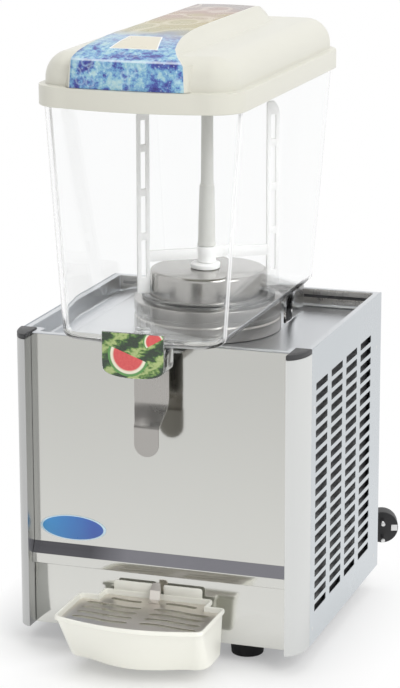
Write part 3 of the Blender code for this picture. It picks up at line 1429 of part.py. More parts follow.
def tap_cover():
    front = behind(-COVER_FORWARD)
    outline = cover_outline(0, COVER_BOTTOM_Z)
    shell = flat("tap_cover", (outline,), COVER_DEPTH, PRINT_PLASTIC, upright(front, COVER_DEPTH))
    hollow_bottom = COVER_BOTTOM_Z - COVER_DEPTH
    hollow = flat(
        "cover_hollow",
        (cover_outline(COVER_WALL, hollow_bottom),),
        COVER_DEPTH,
        None,
        upright(front + COVER_WALL, COVER_DEPTH),
    )
    reach = COVER_HALF_WIDTH + OVERRUN
    low = (-reach, front + COVER_WALL + GAP / 2, BOWL_BOTTOM_Z - GAP)
    high = (reach, front + COVER_DEPTH + OVERRUN, COVER_TOP_Z + OVERRUN)
    return cut(shell, hollow, box("cover_clearance", low, high))


def lever_arm(name, inner_x, outer_x):
    """A side arm seen from the right: a round eye at the pivot and a straight tail under the crossbar."""
    low = BOWL_BOTTOM_Z - LEVER_ARM_DROP
    top = CROSSBAR_Z - CROSSBAR_RADIUS - GAP
    back = TAP_Y + LEVER_BACK_REACH
    points = []
    for i in range(EYE_STEPS + 1):
        turn = math.radians(EYE_START_DEG + EYE_SWEEP_DEG * i / EYE_STEPS)
        points.append((PIVOT_Y + LEVER_EYE * math.cos(turn), PIVOT_Z + LEVER_EYE * math.sin(turn)))
    points.append((TAP_Y - LEVER_EYE * 2, low))
    points.append((back, low))
    points.append((back, top))
    points.append((TAP_Y - LEVER_EYE, top))
    hole = []
    for i in range(SMALL_SEGMENTS):
        turn = 2 * math.pi * i / SMALL_SEGMENTS
        y = PIVOT_Y + LEVER_EYE_HOLE * math.cos(turn)
        hole.append((y, PIVOT_Z + LEVER_EYE_HOLE * math.sin(turn)))
    turn = Matrix(((0, 0, 1, 0), (1, 0, 0, 0), (0, 1, 0, 0), (0, 0, 0, 1)))
    middle = Matrix.Translation(((inner_x + outer_x) / 2, 0, 0)) @ turn
    return flat(name, (points, hole), abs(outer_x - inner_x), None, middle)


def tap_lever():
    back = TAP_Y + LEVER_BACK_REACH - LEVER_SHEET / 2
    paddle = TAP_Y + LEVER_PADDLE_REACH - LEVER_SHEET / 2
    half = LEVER_ARM_OUTER_X + LEVER_EDGE
    round_z = BOWL_BOTTOM_Z - LEVER_TIP_DROP + LEVER_PADDLE_HALF_WIDTH
    rows = [
        (half, back, BOWL_BOTTOM_Z - LEVER_PLATE_DROP),
        (half, back, BOWL_BOTTOM_Z - LEVER_FOLD_DROP),
        (LEVER_PADDLE_HALF_WIDTH, paddle, BOWL_BOTTOM_Z - LEVER_LOW_FOLD_DROP),
    ]
    for i in range(LEVER_TIP_STEPS):
        turn = math.pi / 2 * i / LEVER_TIP_STEPS
        half = LEVER_PADDLE_HALF_WIDTH * math.cos(turn)
        rows.append((half, paddle, round_z - LEVER_PADDLE_HALF_WIDTH * math.sin(turn)))
    lever = sheet("tap_lever", rows, LEVER_SHEET, BRUSHED_STEEL)
    arms = []
    for side, sign in (("left", -1), ("right", 1)):
        inner_x = sign * LEVER_ARM_X
        arms.append(lever_arm(f"lever_arm_{side}", inner_x, inner_x + sign * LEVER_SHEET))
    fuse(lever, *arms)
    body("lever", (0, PIVOT_Y, PIVOT_Z), lever)
    reach = LEVER_ARM_OUTER_X + PIVOT_END
    end = (reach, PIVOT_Y, PIVOT_Z)
    return rod("lever_pin", (-reach, PIVOT_Y, PIVOT_Z), end, PIVOT_RADIUS, BRUSHED_STEEL)


def bowl_set():
    shell, gasket = bowl()
    pieces = (shell, gasket, tap_body(), tap_cover(), tap_lever())
    body("bowl_lift", (0, DRUM_Y, BOWL_BOTTOM_Z), *pieces)
    tap_plunger()
    body("lid_lift", (0, DRUM_Y, LID_BOTTOM_Z), lid())


def tray_loop(z, inset, taper_share=0):
    """The tray's plan at a height, from its rim's plan (0) to its bottom's (1)."""
    corner = TRAY_CORNER + (TRAY_BOTTOM_CORNER - TRAY_CORNER) * taper_share
    return rounded_loop(
        TRAY_HALF_WIDTH - inset - TRAY_SIDE_TAPER * taper_share,
        behind(inset + TRAY_FRONT_SLOPE * taper_share - TRAY_CORNER_FORWARD),
        behind(-inset - TRAY_BACK_FORWARD),
        corner - inset / 2,
        TRAY_BOW + (TRAY_BOTTOM_BOW - TRAY_BOW) * taper_share,
        z,
    )


def drip_tray():
    lip_z = TRAY_RIM_Z - TRAY_LIP_HEIGHT
    outer = (
        tray_loop(TRAY_BOTTOM_Z, TRAY_LIP + TRAY_EDGE, 1),
        tray_loop(TRAY_BOTTOM_Z + TRAY_EDGE, TRAY_LIP, 1),
        tray_loop(lip_z - TRAY_LIP / 2, TRAY_LIP),
        tray_loop(lip_z, 0),
        tray_loop(TRAY_RIM_Z, 0),
    )
    wall_inset = TRAY_LIP + TRAY_WALL
    inner = (
        tray_loop(TRAY_RIM_Z, TRAY_WALL),
        tray_loop(TRAY_LEDGE_Z, TRAY_WALL),
        tray_loop(TRAY_LEDGE_Z, wall_inset + TRAY_LEDGE / 2),
        tray_loop(TRAY_BOTTOM_Z + TRAY_WALL + TRAY_EDGE, wall_inset, 1),
        tray_loop(TRAY_BOTTOM_Z + TRAY_WALL, wall_inset + TRAY_EDGE, 1),
    )
    tray = loft("drip_tray", outer + inner, IVORY_PLASTIC)
    back = behind(-TAIL_GAP)
    lap = behind(-TRAY_BACK_FORWARD - TRAY_WALL)
    low = (-TAIL_HALF_WIDTH, lap, TAIL_BOTTOM_Z)
    tail = box("tray_tail", low, (TAIL_HALF_WIDTH, back, TRAY_RIM_Z))
    tabs = []
    tab_outer = TAIL_HALF_WIDTH - TAB_INSET
    for side, inner_x, outer_x in (("left", -tab_outer, -TAB_INNER), ("right", TAB_INNER, tab_outer)):
        low = (inner_x, back - TRAY_WALL, TRAY_RIM_Z - TRAY_LIP_HEIGHT)
        tabs.append(box(f"tray_tab_{side}", low, (outer_x, back - GAP, TRAY_RIM_Z + TAB_RISE)))
    fuse(tray, tail, *tabs)
    inside = TAIL_HALF_WIDTH - TRAY_WALL
    low = (-inside, lap - TAIL_LAP, TRAY_LEDGE_Z)
    wide = box("tail_inside_high", low, (inside, back - TRAY_WALL - GAP, TRAY_RIM_Z + OVERRUN))
    narrow = inside - TRAY_LEDGE
    low = (-narrow, lap - TAIL_LAP * 2, TAIL_BOTTOM_Z + TRAY_WALL)
    deep = box("tail_inside_low", low, (narrow, back - TRAY_WALL - TRAY_LEDGE, TRAY_LEDGE_Z + GAP))
    cut(tray, wide, deep)
    return tray


def wave(x):
    return WAVE_HEIGHT * math.sin(2 * math.pi * x / TRAY_HALF_WIDTH)


def grille_outline():
    """The grille's plan: the tray's inner line, with the tail's narrower end behind."""
    inset = TRAY_WALL + GRILLE_FIT
    front = [(x, y) for x, y, z in tray_loop(0, inset)]
    half = TAIL_HALF_WIDTH - inset
    back = behind(-TAIL_GAP) - TRAY_WALL - GRILLE_FIT
    shoulder = behind(-inset - TRAY_BACK_FORWARD)
    kept = [point for point in front if point[1] < shoulder - GAP]
    right = [point for point in kept if point[0] > 0]
    turn_index = kept.index(max(right, key=lambda point: point[1])) + 1
    tail = [(half + GRILLE_FIT, shoulder), (half, back), (-half, back), (-half - GRILLE_FIT, shoulder)]
    return kept[:turn_index] + tail + kept[turn_index:]


def wavy_slot(inner_x, outer_x, middle, side):
    places = [side * (inner_x + (outer_x - inner_x) * j / WAVE_POINTS) for j in range(WAVE_POINTS + 1)]
    near = [(x, middle + wave(x) - WAVE_SLOT_WIDTH / 2) for x in places]
    far = [(x, middle + wave(x) + WAVE_SLOT_WIDTH / 2) for x in reversed(places)]
    return near + far


def drip_grille():
    slots = []
    for side in (-1, 1):
        for i in range(WAVE_ROWS):
            middle = behind(-WAVE_FIRST_FORWARD - WAVE_PITCH * i)
            slots.append(wavy_slot(WAVE_INNER_X, TRAY_HALF_WIDTH - WAVE_MARGIN, middle, side))
        middle = behind(-WAVE_BACK_FORWARD)
        slots.append(wavy_slot(WAVE_BACK_INNER_X, TAIL_HALF_WIDTH - WAVE_MARGIN, middle, side))
    middle_z = TRAY_LEDGE_Z + GAP + GRILLE_PLATE / 2
    world = Matrix.Translation((0, 0, middle_z))
    plate = flat("drip_grille", [grille_outline()] + slots, GRILLE_PLATE, BRUSHED_STEEL, world)
    rows = (
        (TONGUE_HALF_WIDTH, behind(-TONGUE_TIP_FORWARD), TRAY_LEDGE_Z + TONGUE_TIP_RISE),
        (TONGUE_HALF_WIDTH, behind(-TONGUE_FOLD_FORWARD), TRAY_LEDGE_Z + TONGUE_FOLD_RISE),
        (TONGUE_HALF_WIDTH, behind(-TONGUE_FOOT_FORWARD), middle_z),
    )
    return fuse(plate, sheet("tongue", rows, GRILLE_PLATE, None))


def tray_bracket():
    face = behind(-GAP)
    low = (-BRACKET_HALF_WIDTH, face - BRACKET_SHEET, TAIL_BOTTOM_Z - BRACKET_DROP)
    high = (BRACKET_HALF_WIDTH, face, TRAY_RIM_Z - BRACKET_TOP_DROP)
    plate = box("tray_bracket", low, high, BRUSHED_STEEL)
    shelf_top = TAIL_BOTTOM_Z - GAP
    low = (-BRACKET_HALF_WIDTH + SHEET, face - BRACKET_REACH, shelf_top - BRACKET_SHEET)
    high = (BRACKET_HALF_WIDTH - SHEET, face - BRACKET_SHEET / 2, shelf_top)
    fuse(plate, box("bracket_shelf", low, high))


def compressor():
    y = behind(COMPRESSOR_SETBACK)
    base_top = INSIDE_FLOOR_Z + COMPRESSOR_BASE
    shoulder = COMPRESSOR_TOP_Z - COMPRESSOR_DOME
    profile = [(0, COMPRESSOR_TOP_Z)]
    for degrees in (60, 30, 0):
        turn = math.radians(degrees)
        profile.append((COMPRESSOR_RADIUS * math.cos(turn), shoulder + COMPRESSOR_DOME * math.sin(turn)))
    for degrees in (0, -30, -60):
        turn = math.radians(degrees)
        low = base_top + COMPRESSOR_DOME
        profile.append((COMPRESSOR_RADIUS * math.cos(turn), low + COMPRESSOR_DOME * math.sin(turn)))
    profile.append((0, INSIDE_FLOOR_Z + COMPRESSOR_BASE / 2))
    shell = turned("compressor", profile, (COMPRESSOR_X, y, 0), BLACK_PAINT)
    base_y = COMPRESSOR_RADIUS - COMPRESSOR_WAIST
    low = (COMPRESSOR_X - COMPRESSOR_BASE_X, y - base_y, INSIDE_FLOOR_Z)
    high = (COMPRESSOR_X + COMPRESSOR_BASE_X, y + base_y, base_top)
    extras = [box("compressor_base", low, high)]
    for name, x in (("suction_stub", -STUB_OFFSET), ("discharge_stub", STUB_OFFSET)):
        start = (COMPRESSOR_X + x, y, shoulder)
        end = (COMPRESSOR_X + x, y, STUB_TOP_Z)
        extras.append(rod(name, start, end, STUB_RADIUS, segments=THIN_SEGMENTS))
    fuse(shell, *extras)
    side = COMPRESSOR_X + COMPRESSOR_RADIUS + GAP
    low = (side, y - RELAY_HALF_WIDTH, RELAY_LOW_Z)
    box("relay_box", low, (side + RELAY_DEPTH, y + RELAY_HALF_WIDTH, RELAY_HIGH_Z), BLACK_PLASTIC)


def condenser():
    low = (CONDENSER_INNER_X, behind(CONDENSER_FRONT_SETBACK), INSIDE_FLOOR_Z)
    high = (CONDENSER_OUTER_X, behind(CONDENSER_BACK_SETBACK), CONDENSER_TOP_Z)
    block = box("condenser", low, high, ALUMINIUM)
    groove_low = (CONDENSER_INNER_X + FIN_SPINE, low[1] - OVERRUN, INSIDE_FLOOR_Z + FIN)
    groove_high = (CONDENSER_OUTER_X + OVERRUN, high[1] + OVERRUN, INSIDE_FLOOR_Z + FIN_PITCH)
    cut(block, repeat(box("fin_grooves", groove_low, groove_high), (0, 0, FIN_PITCH), FIN_COUNT))
    stubs = []
    for name, z in (("condenser_inlet", CONDENSER_IN_Z), ("condenser_outlet", CONDENSER_OUT_Z)):
        start = (CONDENSER_STUB_X, low[1] - STUB_REACH, z)
        end = (CONDENSER_STUB_X, low[1] + FIN_SPINE, z)
        stubs.append(rod(name, start, end, STUB_RADIUS, segments=THIN_SEGMENTS))
    fuse(block, *stubs)


def fan():
    y = behind(FAN_SETBACK)
    low = (SHROUD_INNER_X, behind(CONDENSER_FRONT_SETBACK), INSIDE_FLOOR_Z)
    high = (SHROUD_OUTER_X, behind(CONDENSER_BACK_SETBACK), CONDENSER_TOP_Z)
    shroud = box("fan_shroud", low, high, BLACK_PLASTIC)
    start = (SHROUD_INNER_X - OVERRUN, y, FAN_Z)
    end = (SHROUD_OUTER_X + OVERRUN, y, FAN_Z)
    cut(shroud, rod("shroud_hole", start, end, SHROUD_HOLE, segments=DRUM_STEPS))
    pocket = FAN_SHAFT_INNER_X - GAP
    start = (FAN_MOTOR_INNER_X, y, FAN_Z)
    end = (FAN_MOTOR_OUTER_X, y, FAN_Z)
    motor = rod("fan_motor", start, end, FAN_MOTOR_RADIUS, BLACK_PAINT, segments=SEGMENTS)
    half = FAN_BRACKET_WIDTH / 2
    bar_low = (FAN_MOTOR_OUTER_X - FAN_BRACKET_SHEET * 2, y - FAN_BRACKET_REACH, FAN_Z - half)
    bar_high = (FAN_MOTOR_OUTER_X - FAN_BRACKET_SHEET, y + FAN_BRACKET_REACH, FAN_Z + half)
    extras = [box("fan_bracket", bar_low, bar_high)]
    for side, sign in (("front", -1), ("back", 1)):
        outer = y + sign * FAN_BRACKET_REACH
        inner = outer - sign * FAN_BRACKET_SHEET
        low = (bar_low[0] + GAP, min(outer, inner), FAN_Z - half + GAP)
        high = (SHROUD_INNER_X - GAP, max(outer, inner), FAN_Z + half - GAP)
        extras.append(box(f"bracket_leg_{side}", low, high))
    fuse(motor, *extras)
    end = (FAN_MOTOR_OUTER_X + OVERRUN, y, FAN_Z)
    cut(motor, rod("fan_motor_bore", (pocket, y, FAN_Z), end, FAN_SHAFT_RADIUS + GAP))
    wheel = rod("fan_blade", (FAN_INNER_X, y, FAN_Z), (FAN_OUTER_X, y, FAN_Z), FAN_HUB_RADIUS, BLACK_PLASTIC)
    start = (FAN_SHAFT_INNER_X, y, FAN_Z)
    end = (FAN_OUTER_X - GAP, y, FAN_Z)
    fuse(wheel, rod("fan_shaft", start, end, FAN_SHAFT_RADIUS, segments=THIN_SEGMENTS))
    middle_x = (FAN_INNER_X + FAN_OUTER_X) / 2
    for i in range(FAN_BLADES):
        half_chord = FAN_BLADE_CHORD / 2
        root = FAN_HUB_RADIUS / 2
        low = (-FAN_BLADE_THICKNESS / 2, -half_chord, root)
        blade = box(f"blade_{i + 1}", low, (FAN_BLADE_THICKNESS / 2, half_chord, FAN_RADIUS))
        local = blade.matrix_basis.copy()
        spin = Matrix.Rotation(2 * math.pi * i / FAN_BLADES, 4, "X")
        pitch = Matrix.Rotation(math.radians(FAN_PITCH_DEG), 4, "Z")
        blade.matrix_world = Matrix.Translation((middle_x, y, FAN_Z)) @ spin @ pitch @ local
        fuse(wheel, blade)
    body("fan", (middle_x, y, FAN_Z), wheel)


def bent(corners, bend=PIPE_BEND):
    """Points of a pipe that runs straight between its corners and turns each one on a round bend."""
    corners = [Vector(corner) for corner in corners]
    points = [corners[0]]
    for before, corner, after in zip(corners, corners[1:], corners[2:]):
        come = (before - corner).normalized()
        leave = (after - corner).normalized()
        reach = min(bend, (before - corner).length / 2, (after - corner).length / 2)
        start = corner + come * reach
        end = corner + leave * reach
        for i in range(BEND_POINTS + 1):
            share = i / BEND_POINTS
            first = start.lerp(corner, share)
            points.append(first.lerp(corner.lerp(end, share), share))
    return points + [corners[-1]]


def pipes():
    compressor_y = behind(COMPRESSOR_SETBACK)
    front_y = behind(CONDENSER_FRONT_SETBACK)
    stub_y = front_y - STUB_REACH - GAP
    stub_top = STUB_TOP_Z + GAP
    lane_y = stub_y - PIPE_BEND * 2
    lift = STUB_TOP_Z + PIPE_BEND * 2
    discharge_x = COMPRESSOR_X + STUB_OFFSET
    corners = (
        (discharge_x, compressor_y, stub_top),
        (discharge_x, compressor_y, lift),
        (discharge_x, lane_y, lift),
        (CONDENSER_STUB_X, lane_y, CONDENSER_IN_Z),
        (CONDENSER_STUB_X, stub_y, CONDENSER_IN_Z),
    )
    tube("discharge_pipe", bent(corners), PIPE_RADIUS, COPPER, 1)
    suction_x = COMPRESSOR_X - STUB_OFFSET
    exit_x, exit_y = on_drum_circle(EVAPORATOR_RADIUS, EVAPORATOR_EXIT_DEG)
    high = EVAPORATOR_END_Z - PIPE_BEND * 3
    corners = (
        (suction_x, compressor_y, stub_top),
        (suction_x, compressor_y, high),
        (exit_x, exit_y, high),
        (exit_x, exit_y, EVAPORATOR_END_Z - GAP),
    )
    tube("suction_pipe", bent(corners), PIPE_RADIUS, COPPER, 1)
    drier_y = behind(DRIER_SETBACK)
    drier_z = INSIDE_FLOOR_Z + DRIER_RADIUS
    end = (DRIER_OUTER_X, drier_y, drier_z)
    rod("filter_drier", (DRIER_INNER_X, drier_y, drier_z), end, DRIER_RADIUS, COPPER)
    corners = (
        (CONDENSER_STUB_X, stub_y, CONDENSER_OUT_Z),
        (CONDENSER_STUB_X, drier_y, CONDENSER_OUT_Z),
        (CONDENSER_STUB_X, drier_y, drier_z),
        (DRIER_OUTER_X + GAP, drier_y, drier_z),
    )
    tube("liquid_pipe", bent(corners, PIPE_BEND / 2), PIPE_RADIUS, COPPER, 1)
    return_x, return_y = on_drum_circle(EVAPORATOR_INNER_RADIUS, EVAPORATOR_RETURN_DEG)
    rise_x = DRIER_INNER_X - CAPILLARY_OFFSET
    rise_y = behind(CAPILLARY_RISE_SETBACK)
    corners = (
        (DRIER_INNER_X - GAP, drier_y, drier_z),
        (rise_x, drier_y, drier_z),
        (rise_x, rise_y, drier_z),
        (rise_x, rise_y, high),
        (return_x, return_y, high),
        (return_x, return_y, EVAPORATOR_END_Z - GAP),
    )
    tube("capillary_pipe", bent(corners), CAPILLARY_RADIUS, COPPER, 1)


def rocker_outline():
    half = ROCKER_HALF_HEIGHT
    keel = half * ROCKER_KEEL_SHARE
    return (
        (-half, ROCKER_CREST),
        (-keel, -ROCKER_KEEL),
        (keel, -ROCKER_KEEL),
        (half, ROCKER_CREST),
        (0, ROCKER_VALLEY),
    )


def switches():
    face = REAR_FACE_Y + GAP
    pivot_y = face + SWITCH_FLANGE / 2
    for i, x in enumerate(SWITCH_PLACES):
        low = (x - SWITCH_FLANGE_X, face, CONTROL_Z - SWITCH_FLANGE_Z)
        high = (x + SWITCH_FLANGE_X, face + SWITCH_FLANGE, CONTROL_Z + SWITCH_FLANGE_Z)
        frame = box(f"switch_frame_{i + 1}", low, high, BLACK_PLASTIC)
        low = (x - SWITCH_BODY_X, face - SWITCH_BODY_DEPTH, CONTROL_Z - SWITCH_BODY_Z)
        high = (x + SWITCH_BODY_X, face + SWITCH_FLANGE / 2, CONTROL_Z + SWITCH_BODY_Z)
        fuse(frame, box(f"switch_body_{i + 1}", low, high))
        low = (x - SWITCH_WELL_X, face + SWITCH_FLANGE - SWITCH_WELL_DEPTH, CONTROL_Z - SWITCH_WELL_Z)
        high = (x + SWITCH_WELL_X, face + SWITCH_FLANGE + OVERRUN, CONTROL_Z + SWITCH_WELL_Z)
        cut(frame, box(f"switch_well_{i + 1}", low, high))
        turn = Matrix(((0, 0, 1, 0), (0, 1, 0, 0), (-1, 0, 0, 0), (0, 0, 0, 1)))
        tilt = Matrix.Rotation(math.radians(ROCKER_TILT_DEG), 4, "X")
        world = Matrix.Translation((x, pivot_y, CONTROL_Z)) @ tilt @ turn
        width = ROCKER_HALF_WIDTH * 2
        rocker = flat(f"switch_rocker_{i + 1}", (rocker_outline(),), width, SWITCH_GREEN, world)
        body(f"rocker_{i + 1}", (x, pivot_y, CONTROL_Z), rocker)


def thermostat():
    half = THERMOSTAT_HALF_WIDTH
    inner = REAR_INNER_Y - GAP
    low = (KNOB_X - half, inner - THERMOSTAT_DEPTH, CONTROL_Z - half)
    case = box("thermostat", low, (KNOB_X + half, inner, CONTROL_Z + half), BLACK_PLASTIC)
    start = (KNOB_X, inner - THERMOSTAT_SPINDLE, CONTROL_Z)
    end = (KNOB_X, REAR_FACE_Y + THERMOSTAT_SPINDLE_LENGTH, CONTROL_Z)
    fuse(case, rod("spindle", start, end, THERMOSTAT_SPINDLE))
    profile = (
        (0, KNOB_HEIGHT),
        (KNOB_RADIUS - KNOB_EDGE, KNOB_HEIGHT),
        (KNOB_RADIUS, KNOB_HEIGHT - KNOB_EDGE),
        (KNOB_RADIUS, KNOB_SKIRT),
        (KNOB_SKIRT_RADIUS, KNOB_SKIRT),
        (KNOB_SKIRT_RADIUS, 0),
        (KNOB_BORE, 0),
        (KNOB_BORE, KNOB_BORE_DEPTH),
        (0, KNOB_BORE_DEPTH),
    )
    place = (KNOB_X, REAR_FACE_Y + GAP, CONTROL_Z)
    knob = turned("thermostat_knob", profile, place, BLACK_PLASTIC, direction=(0, 1, 0))
    body("knob", place, knob)


def cord_gland():
    profile = (
        (0, GLAND_LENGTH),
        (GLAND_TIP_RADIUS, GLAND_LENGTH),
        (GLAND_RADIUS, GLAND_FLANGE),
        (GLAND_FLANGE_RADIUS, GLAND_FLANGE),
        (GLAND_FLANGE_RADIUS, 0),
        (GLAND_RADIUS, 0),
        (GLAND_RADIUS, -GLAND_TAIL),
        (0, -GLAND_TAIL),
    )
    place = (GLAND_X, REAR_FACE_Y + GAP, GLAND_Z)
    turned("cord_gland", profile, place, BLACK_PLASTIC, direction=(0, 1, 0), steps=SMALL_SEGMENTS)


def smooth(route):
    """A curve through the route's points, with straight first and last stretches."""
    route = [Vector((GLAND_X + x, GLAND_TIP_Y + y, z)) for x, y, z in route]
    points = [route[0]]
    for i in range(1, len(route) - 2):
        before, start, end, after = route[i - 1 : i + 3]
        for j in range(ROUTE_POINTS_BETWEEN + 1):
            t = j / (ROUTE_POINTS_BETWEEN + 1)
            away = (end - before) / 2
            home = (after - start) / 2
            points.append(
                start * (2 * t**3 - 3 * t**2 + 1)
                + away * (t**3 - 2 * t**2 + t)
                + end * (3 * t**2 - 2 * t**3)
                + home * (t**3 - t**2)
            )
    return points + [route[-2], route[-1]]


def coil_points():
    """In and out by turns, a layer higher each time, climbing over the half turn where it reverses."""
    low = CORD_RADIUS + FLOOR_CLEARANCE
    layer_points = round(COIL_LAYER_TURNS * COIL_POINTS)
    climb = COIL_POINTS / 2
    straight = Vector((0, 2 * CORD_RADIUS, 0))
    points = []
    for i in range(COIL_LAYERS * layer_points + 1):
        layer, along = divmod(i, layer_points)
        inward = layer_points - along if layer % 2 else along
        radius = COIL_OUTER_RADIUS - COIL_TURN_PITCH * inward / COIL_POINTS
        height = 0
        for reversal in range(1, COIL_LAYERS):
            share = (i - reversal * layer_points) / climb + 1 / 2
            height += min(1, max(0, share))
        turn = 2 * math.pi * i / COIL_POINTS
        x = COIL_X + radius * math.cos(turn)
        y = COIL_Y + radius * math.sin(turn)
        points.append(Vector((x, y, low + COIL_LAYER_PITCH * height)))
    return [points[0] - straight] + points + [points[-1] + straight]


def least_gap(points, diameter):
    """The least distance between stretches of the coil that aren't neighbours along it, less the cord."""
    least = math.inf
    apart = COIL_POINTS // 2
    for i in range(len(points) - 1):
        for j in range(i + apart, len(points) - 1):
            for share in (0, 1 / 2):
                here = points[i].lerp(points[i + 1], share)
                along = points[j + 1] - points[j]
                t = max(0, min(1, (here - points[j]).dot(along) / along.length_squared))
                least = min(least, (here - points[j] - along * t).length)
    return least - diameter


def plug():
    place = Vector((GLAND_X + PLUG_ASIDE, GLAND_TIP_Y + PLUG_BACK, PLUG_RADIUS + FLOOR_CLEARANCE))
    turn = math.radians(PLUG_TURN_DEG)
    forward = Vector((math.sin(turn), -math.cos(turn), 0))
    tail = PLUG_HEAD + PLUG_NECK
    profile = (
        (0, 0),
        (PLUG_RADIUS - PLUG_EDGE, 0),
        (PLUG_RADIUS, -PLUG_EDGE),
        (PLUG_RADIUS, -PLUG_HEAD),
        (PLUG_NECK_RADIUS, -tail),
        (PLUG_TAIL_RADIUS, -tail - PLUG_TAIL),
        (0, -tail - PLUG_TAIL),
    )
    shell = turned("plug", profile, place, BLACK_PLASTIC, direction=forward)
    side = forward.cross(Vector((0, 0, 1))) * PLUG_PIN_SPACING / 2
    for name, offset in (("plug_pin_left", -side), ("plug_pin_right", side)):
        start = place + offset - forward * PLUG_EDGE
        end = place + offset + forward * PLUG_PIN_LENGTH
        fuse(shell, rod(name, start, end, PLUG_PIN_RADIUS, segments=THIN_SEGMENTS))


def cord():
    cord_gland()
    tube("cord_lead", smooth(CORD_LEAD_ROUTE), CORD_RADIUS, BLACK_PLASTIC, 2)
    points = coil_points()
    print(f"cord_coil least gap to itself {1000 * least_gap(points, 2 * CORD_RADIUS):.2f} mm")
    tube("cord_coil", points, CORD_RADIUS, BLACK_PLASTIC, 1)
    tube("cord_tail", smooth(CORD_TAIL_ROUTE), CORD_RADIUS, BLACK_PLASTIC, 2)
    plug()


base_pan()
feet()
side_panels()
front_panels()
rear_panel()
corner_posts()
top_deck()
drum()
evaporator_coil()
agitator_drive()
stirrer()
bowl_set()
body("tray_slide", (0, behind(-TAIL_GAP), TRAY_BOTTOM_Z), drip_tray())
body("grille_lift", (0, behind(-TAIL_GAP), TRAY_LEDGE_Z), drip_grille())
tray_bracket()
compressor()
condenser()
fan()
pipes()
switches()
thermostat()
cord()
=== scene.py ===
import json
import math

import bmesh
import bpy
from mathutils import Matrix, Vector

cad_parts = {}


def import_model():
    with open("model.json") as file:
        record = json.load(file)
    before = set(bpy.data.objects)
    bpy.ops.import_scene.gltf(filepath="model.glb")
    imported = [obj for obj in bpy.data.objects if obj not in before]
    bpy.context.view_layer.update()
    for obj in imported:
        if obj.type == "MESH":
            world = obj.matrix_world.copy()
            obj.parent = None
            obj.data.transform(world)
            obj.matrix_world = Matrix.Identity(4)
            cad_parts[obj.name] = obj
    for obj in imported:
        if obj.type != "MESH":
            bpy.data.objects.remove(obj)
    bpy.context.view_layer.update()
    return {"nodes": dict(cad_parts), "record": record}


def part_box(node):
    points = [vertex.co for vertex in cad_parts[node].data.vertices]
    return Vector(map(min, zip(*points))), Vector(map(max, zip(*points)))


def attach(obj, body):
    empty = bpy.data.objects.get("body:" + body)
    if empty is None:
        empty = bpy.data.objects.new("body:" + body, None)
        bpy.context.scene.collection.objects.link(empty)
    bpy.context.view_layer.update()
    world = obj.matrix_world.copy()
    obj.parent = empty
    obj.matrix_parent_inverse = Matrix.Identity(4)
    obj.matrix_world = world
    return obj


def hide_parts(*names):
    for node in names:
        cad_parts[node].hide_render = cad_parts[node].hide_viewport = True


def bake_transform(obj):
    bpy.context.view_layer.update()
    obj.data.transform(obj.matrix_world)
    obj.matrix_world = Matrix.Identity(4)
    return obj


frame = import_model()
scene = bpy.context.scene

# Places and measures that pieces share
PANEL_Y = -0.0913
REAR_Y = 0.1857
REAR_FACE_Y = 0.1737
CONTROLS_Y = REAR_FACE_Y + 0.0003
POST_X = 0.1333
SHEET_Z = 0.020
DECK_Z = 0.3020
ON_DECK_Z = DECK_Z + 0.0003
RIM_Z = 0.3210
LOUVRE_ROWS = 20
LOUVRE_Z = 0.0549
LOUVRE_PITCH = 0.01188
BADGE_X, BADGE_Z = -0.0915, 0.1236
BADGE_HALF_X, BADGE_HALF_Z = 0.035, 0.0129
SWITCH_Z = 0.120
SWITCH_XS = (-0.110, -0.070)
KNOB_X = -0.025
DRUM_Y = 0.0587
DRUM_AXIS = (0, DRUM_Y, 0)
STIRRER_TURN = math.radians(34)
BOWL_Z = 0.3326
BOWL_FLOOR_Z = 0.3361
BOWL_RIM_Z = 0.5720
BOWL_SPREAD = 0.0169
TAP_Y = -0.1333
PIN_Y, PIN_Z = -0.1518, 0.314
TRAY_RIM_Z = 0.066
CORD_X, CORD_Z = 0.040, 0.042


def behind(setback):
    """The y of a place this far behind the front panel's face."""
    return PANEL_Y + setback


# Camera


def camera():
    """The camera that the photograph's straight edges and corners give."""
    lens = bpy.data.cameras.new("camera")
    lens.sensor_fit = "VERTICAL"
    lens.sensor_height = 24
    lens.lens = 89.076
    lens.clip_start = 0.05
    eye = bpy.data.objects.new("camera", lens)
    scene.collection.objects.link(eye)
    right = Vector((0.94760566, 0.31943665, -0.00193665))
    up = Vector((-0.07626515, 0.23211877, 0.969693))
    back = Vector((0.31020501, -0.91873887, 0.24431894))
    turn = Matrix((right, up, back)).transposed().to_4x4()
    eye.matrix_world = Matrix.Translation((0.804195, -2.348007, 0.922940)) @ turn
    scene.camera = eye


# Finishes


class Value:
    """A shader socket that Python's signs work on: each sign adds a Math node."""

    def __init__(self, nodes, socket):
        self.nodes = nodes
        self.socket = socket

    def math(self, operation, *others, clamp=False):
        settings = {"operation": operation, "use_clamp": clamp}
        return self.nodes.add("ShaderNodeMath", settings, (self, *others))

    def __add__(self, other):
        return self.math("ADD", other)

    def __mul__(self, other):
        return self.math("MULTIPLY", other)

    def __sub__(self, other):
        return self.math("SUBTRACT", other)

    def __rsub__(self, other):
        return self.nodes.add("ShaderNodeMath", {"operation": "SUBTRACT"}, (other, self))

    def __truediv__(self, other):
        return self.math("DIVIDE", other)

    def __lt__(self, other):
        return self.math("LESS_THAN", other)

    def __gt__(self, other):
        return self.math("GREATER_THAN", other)

    def __abs__(self):
        return self.math("ABSOLUTE")

    __radd__ = __add__
    __rmul__ = __mul__


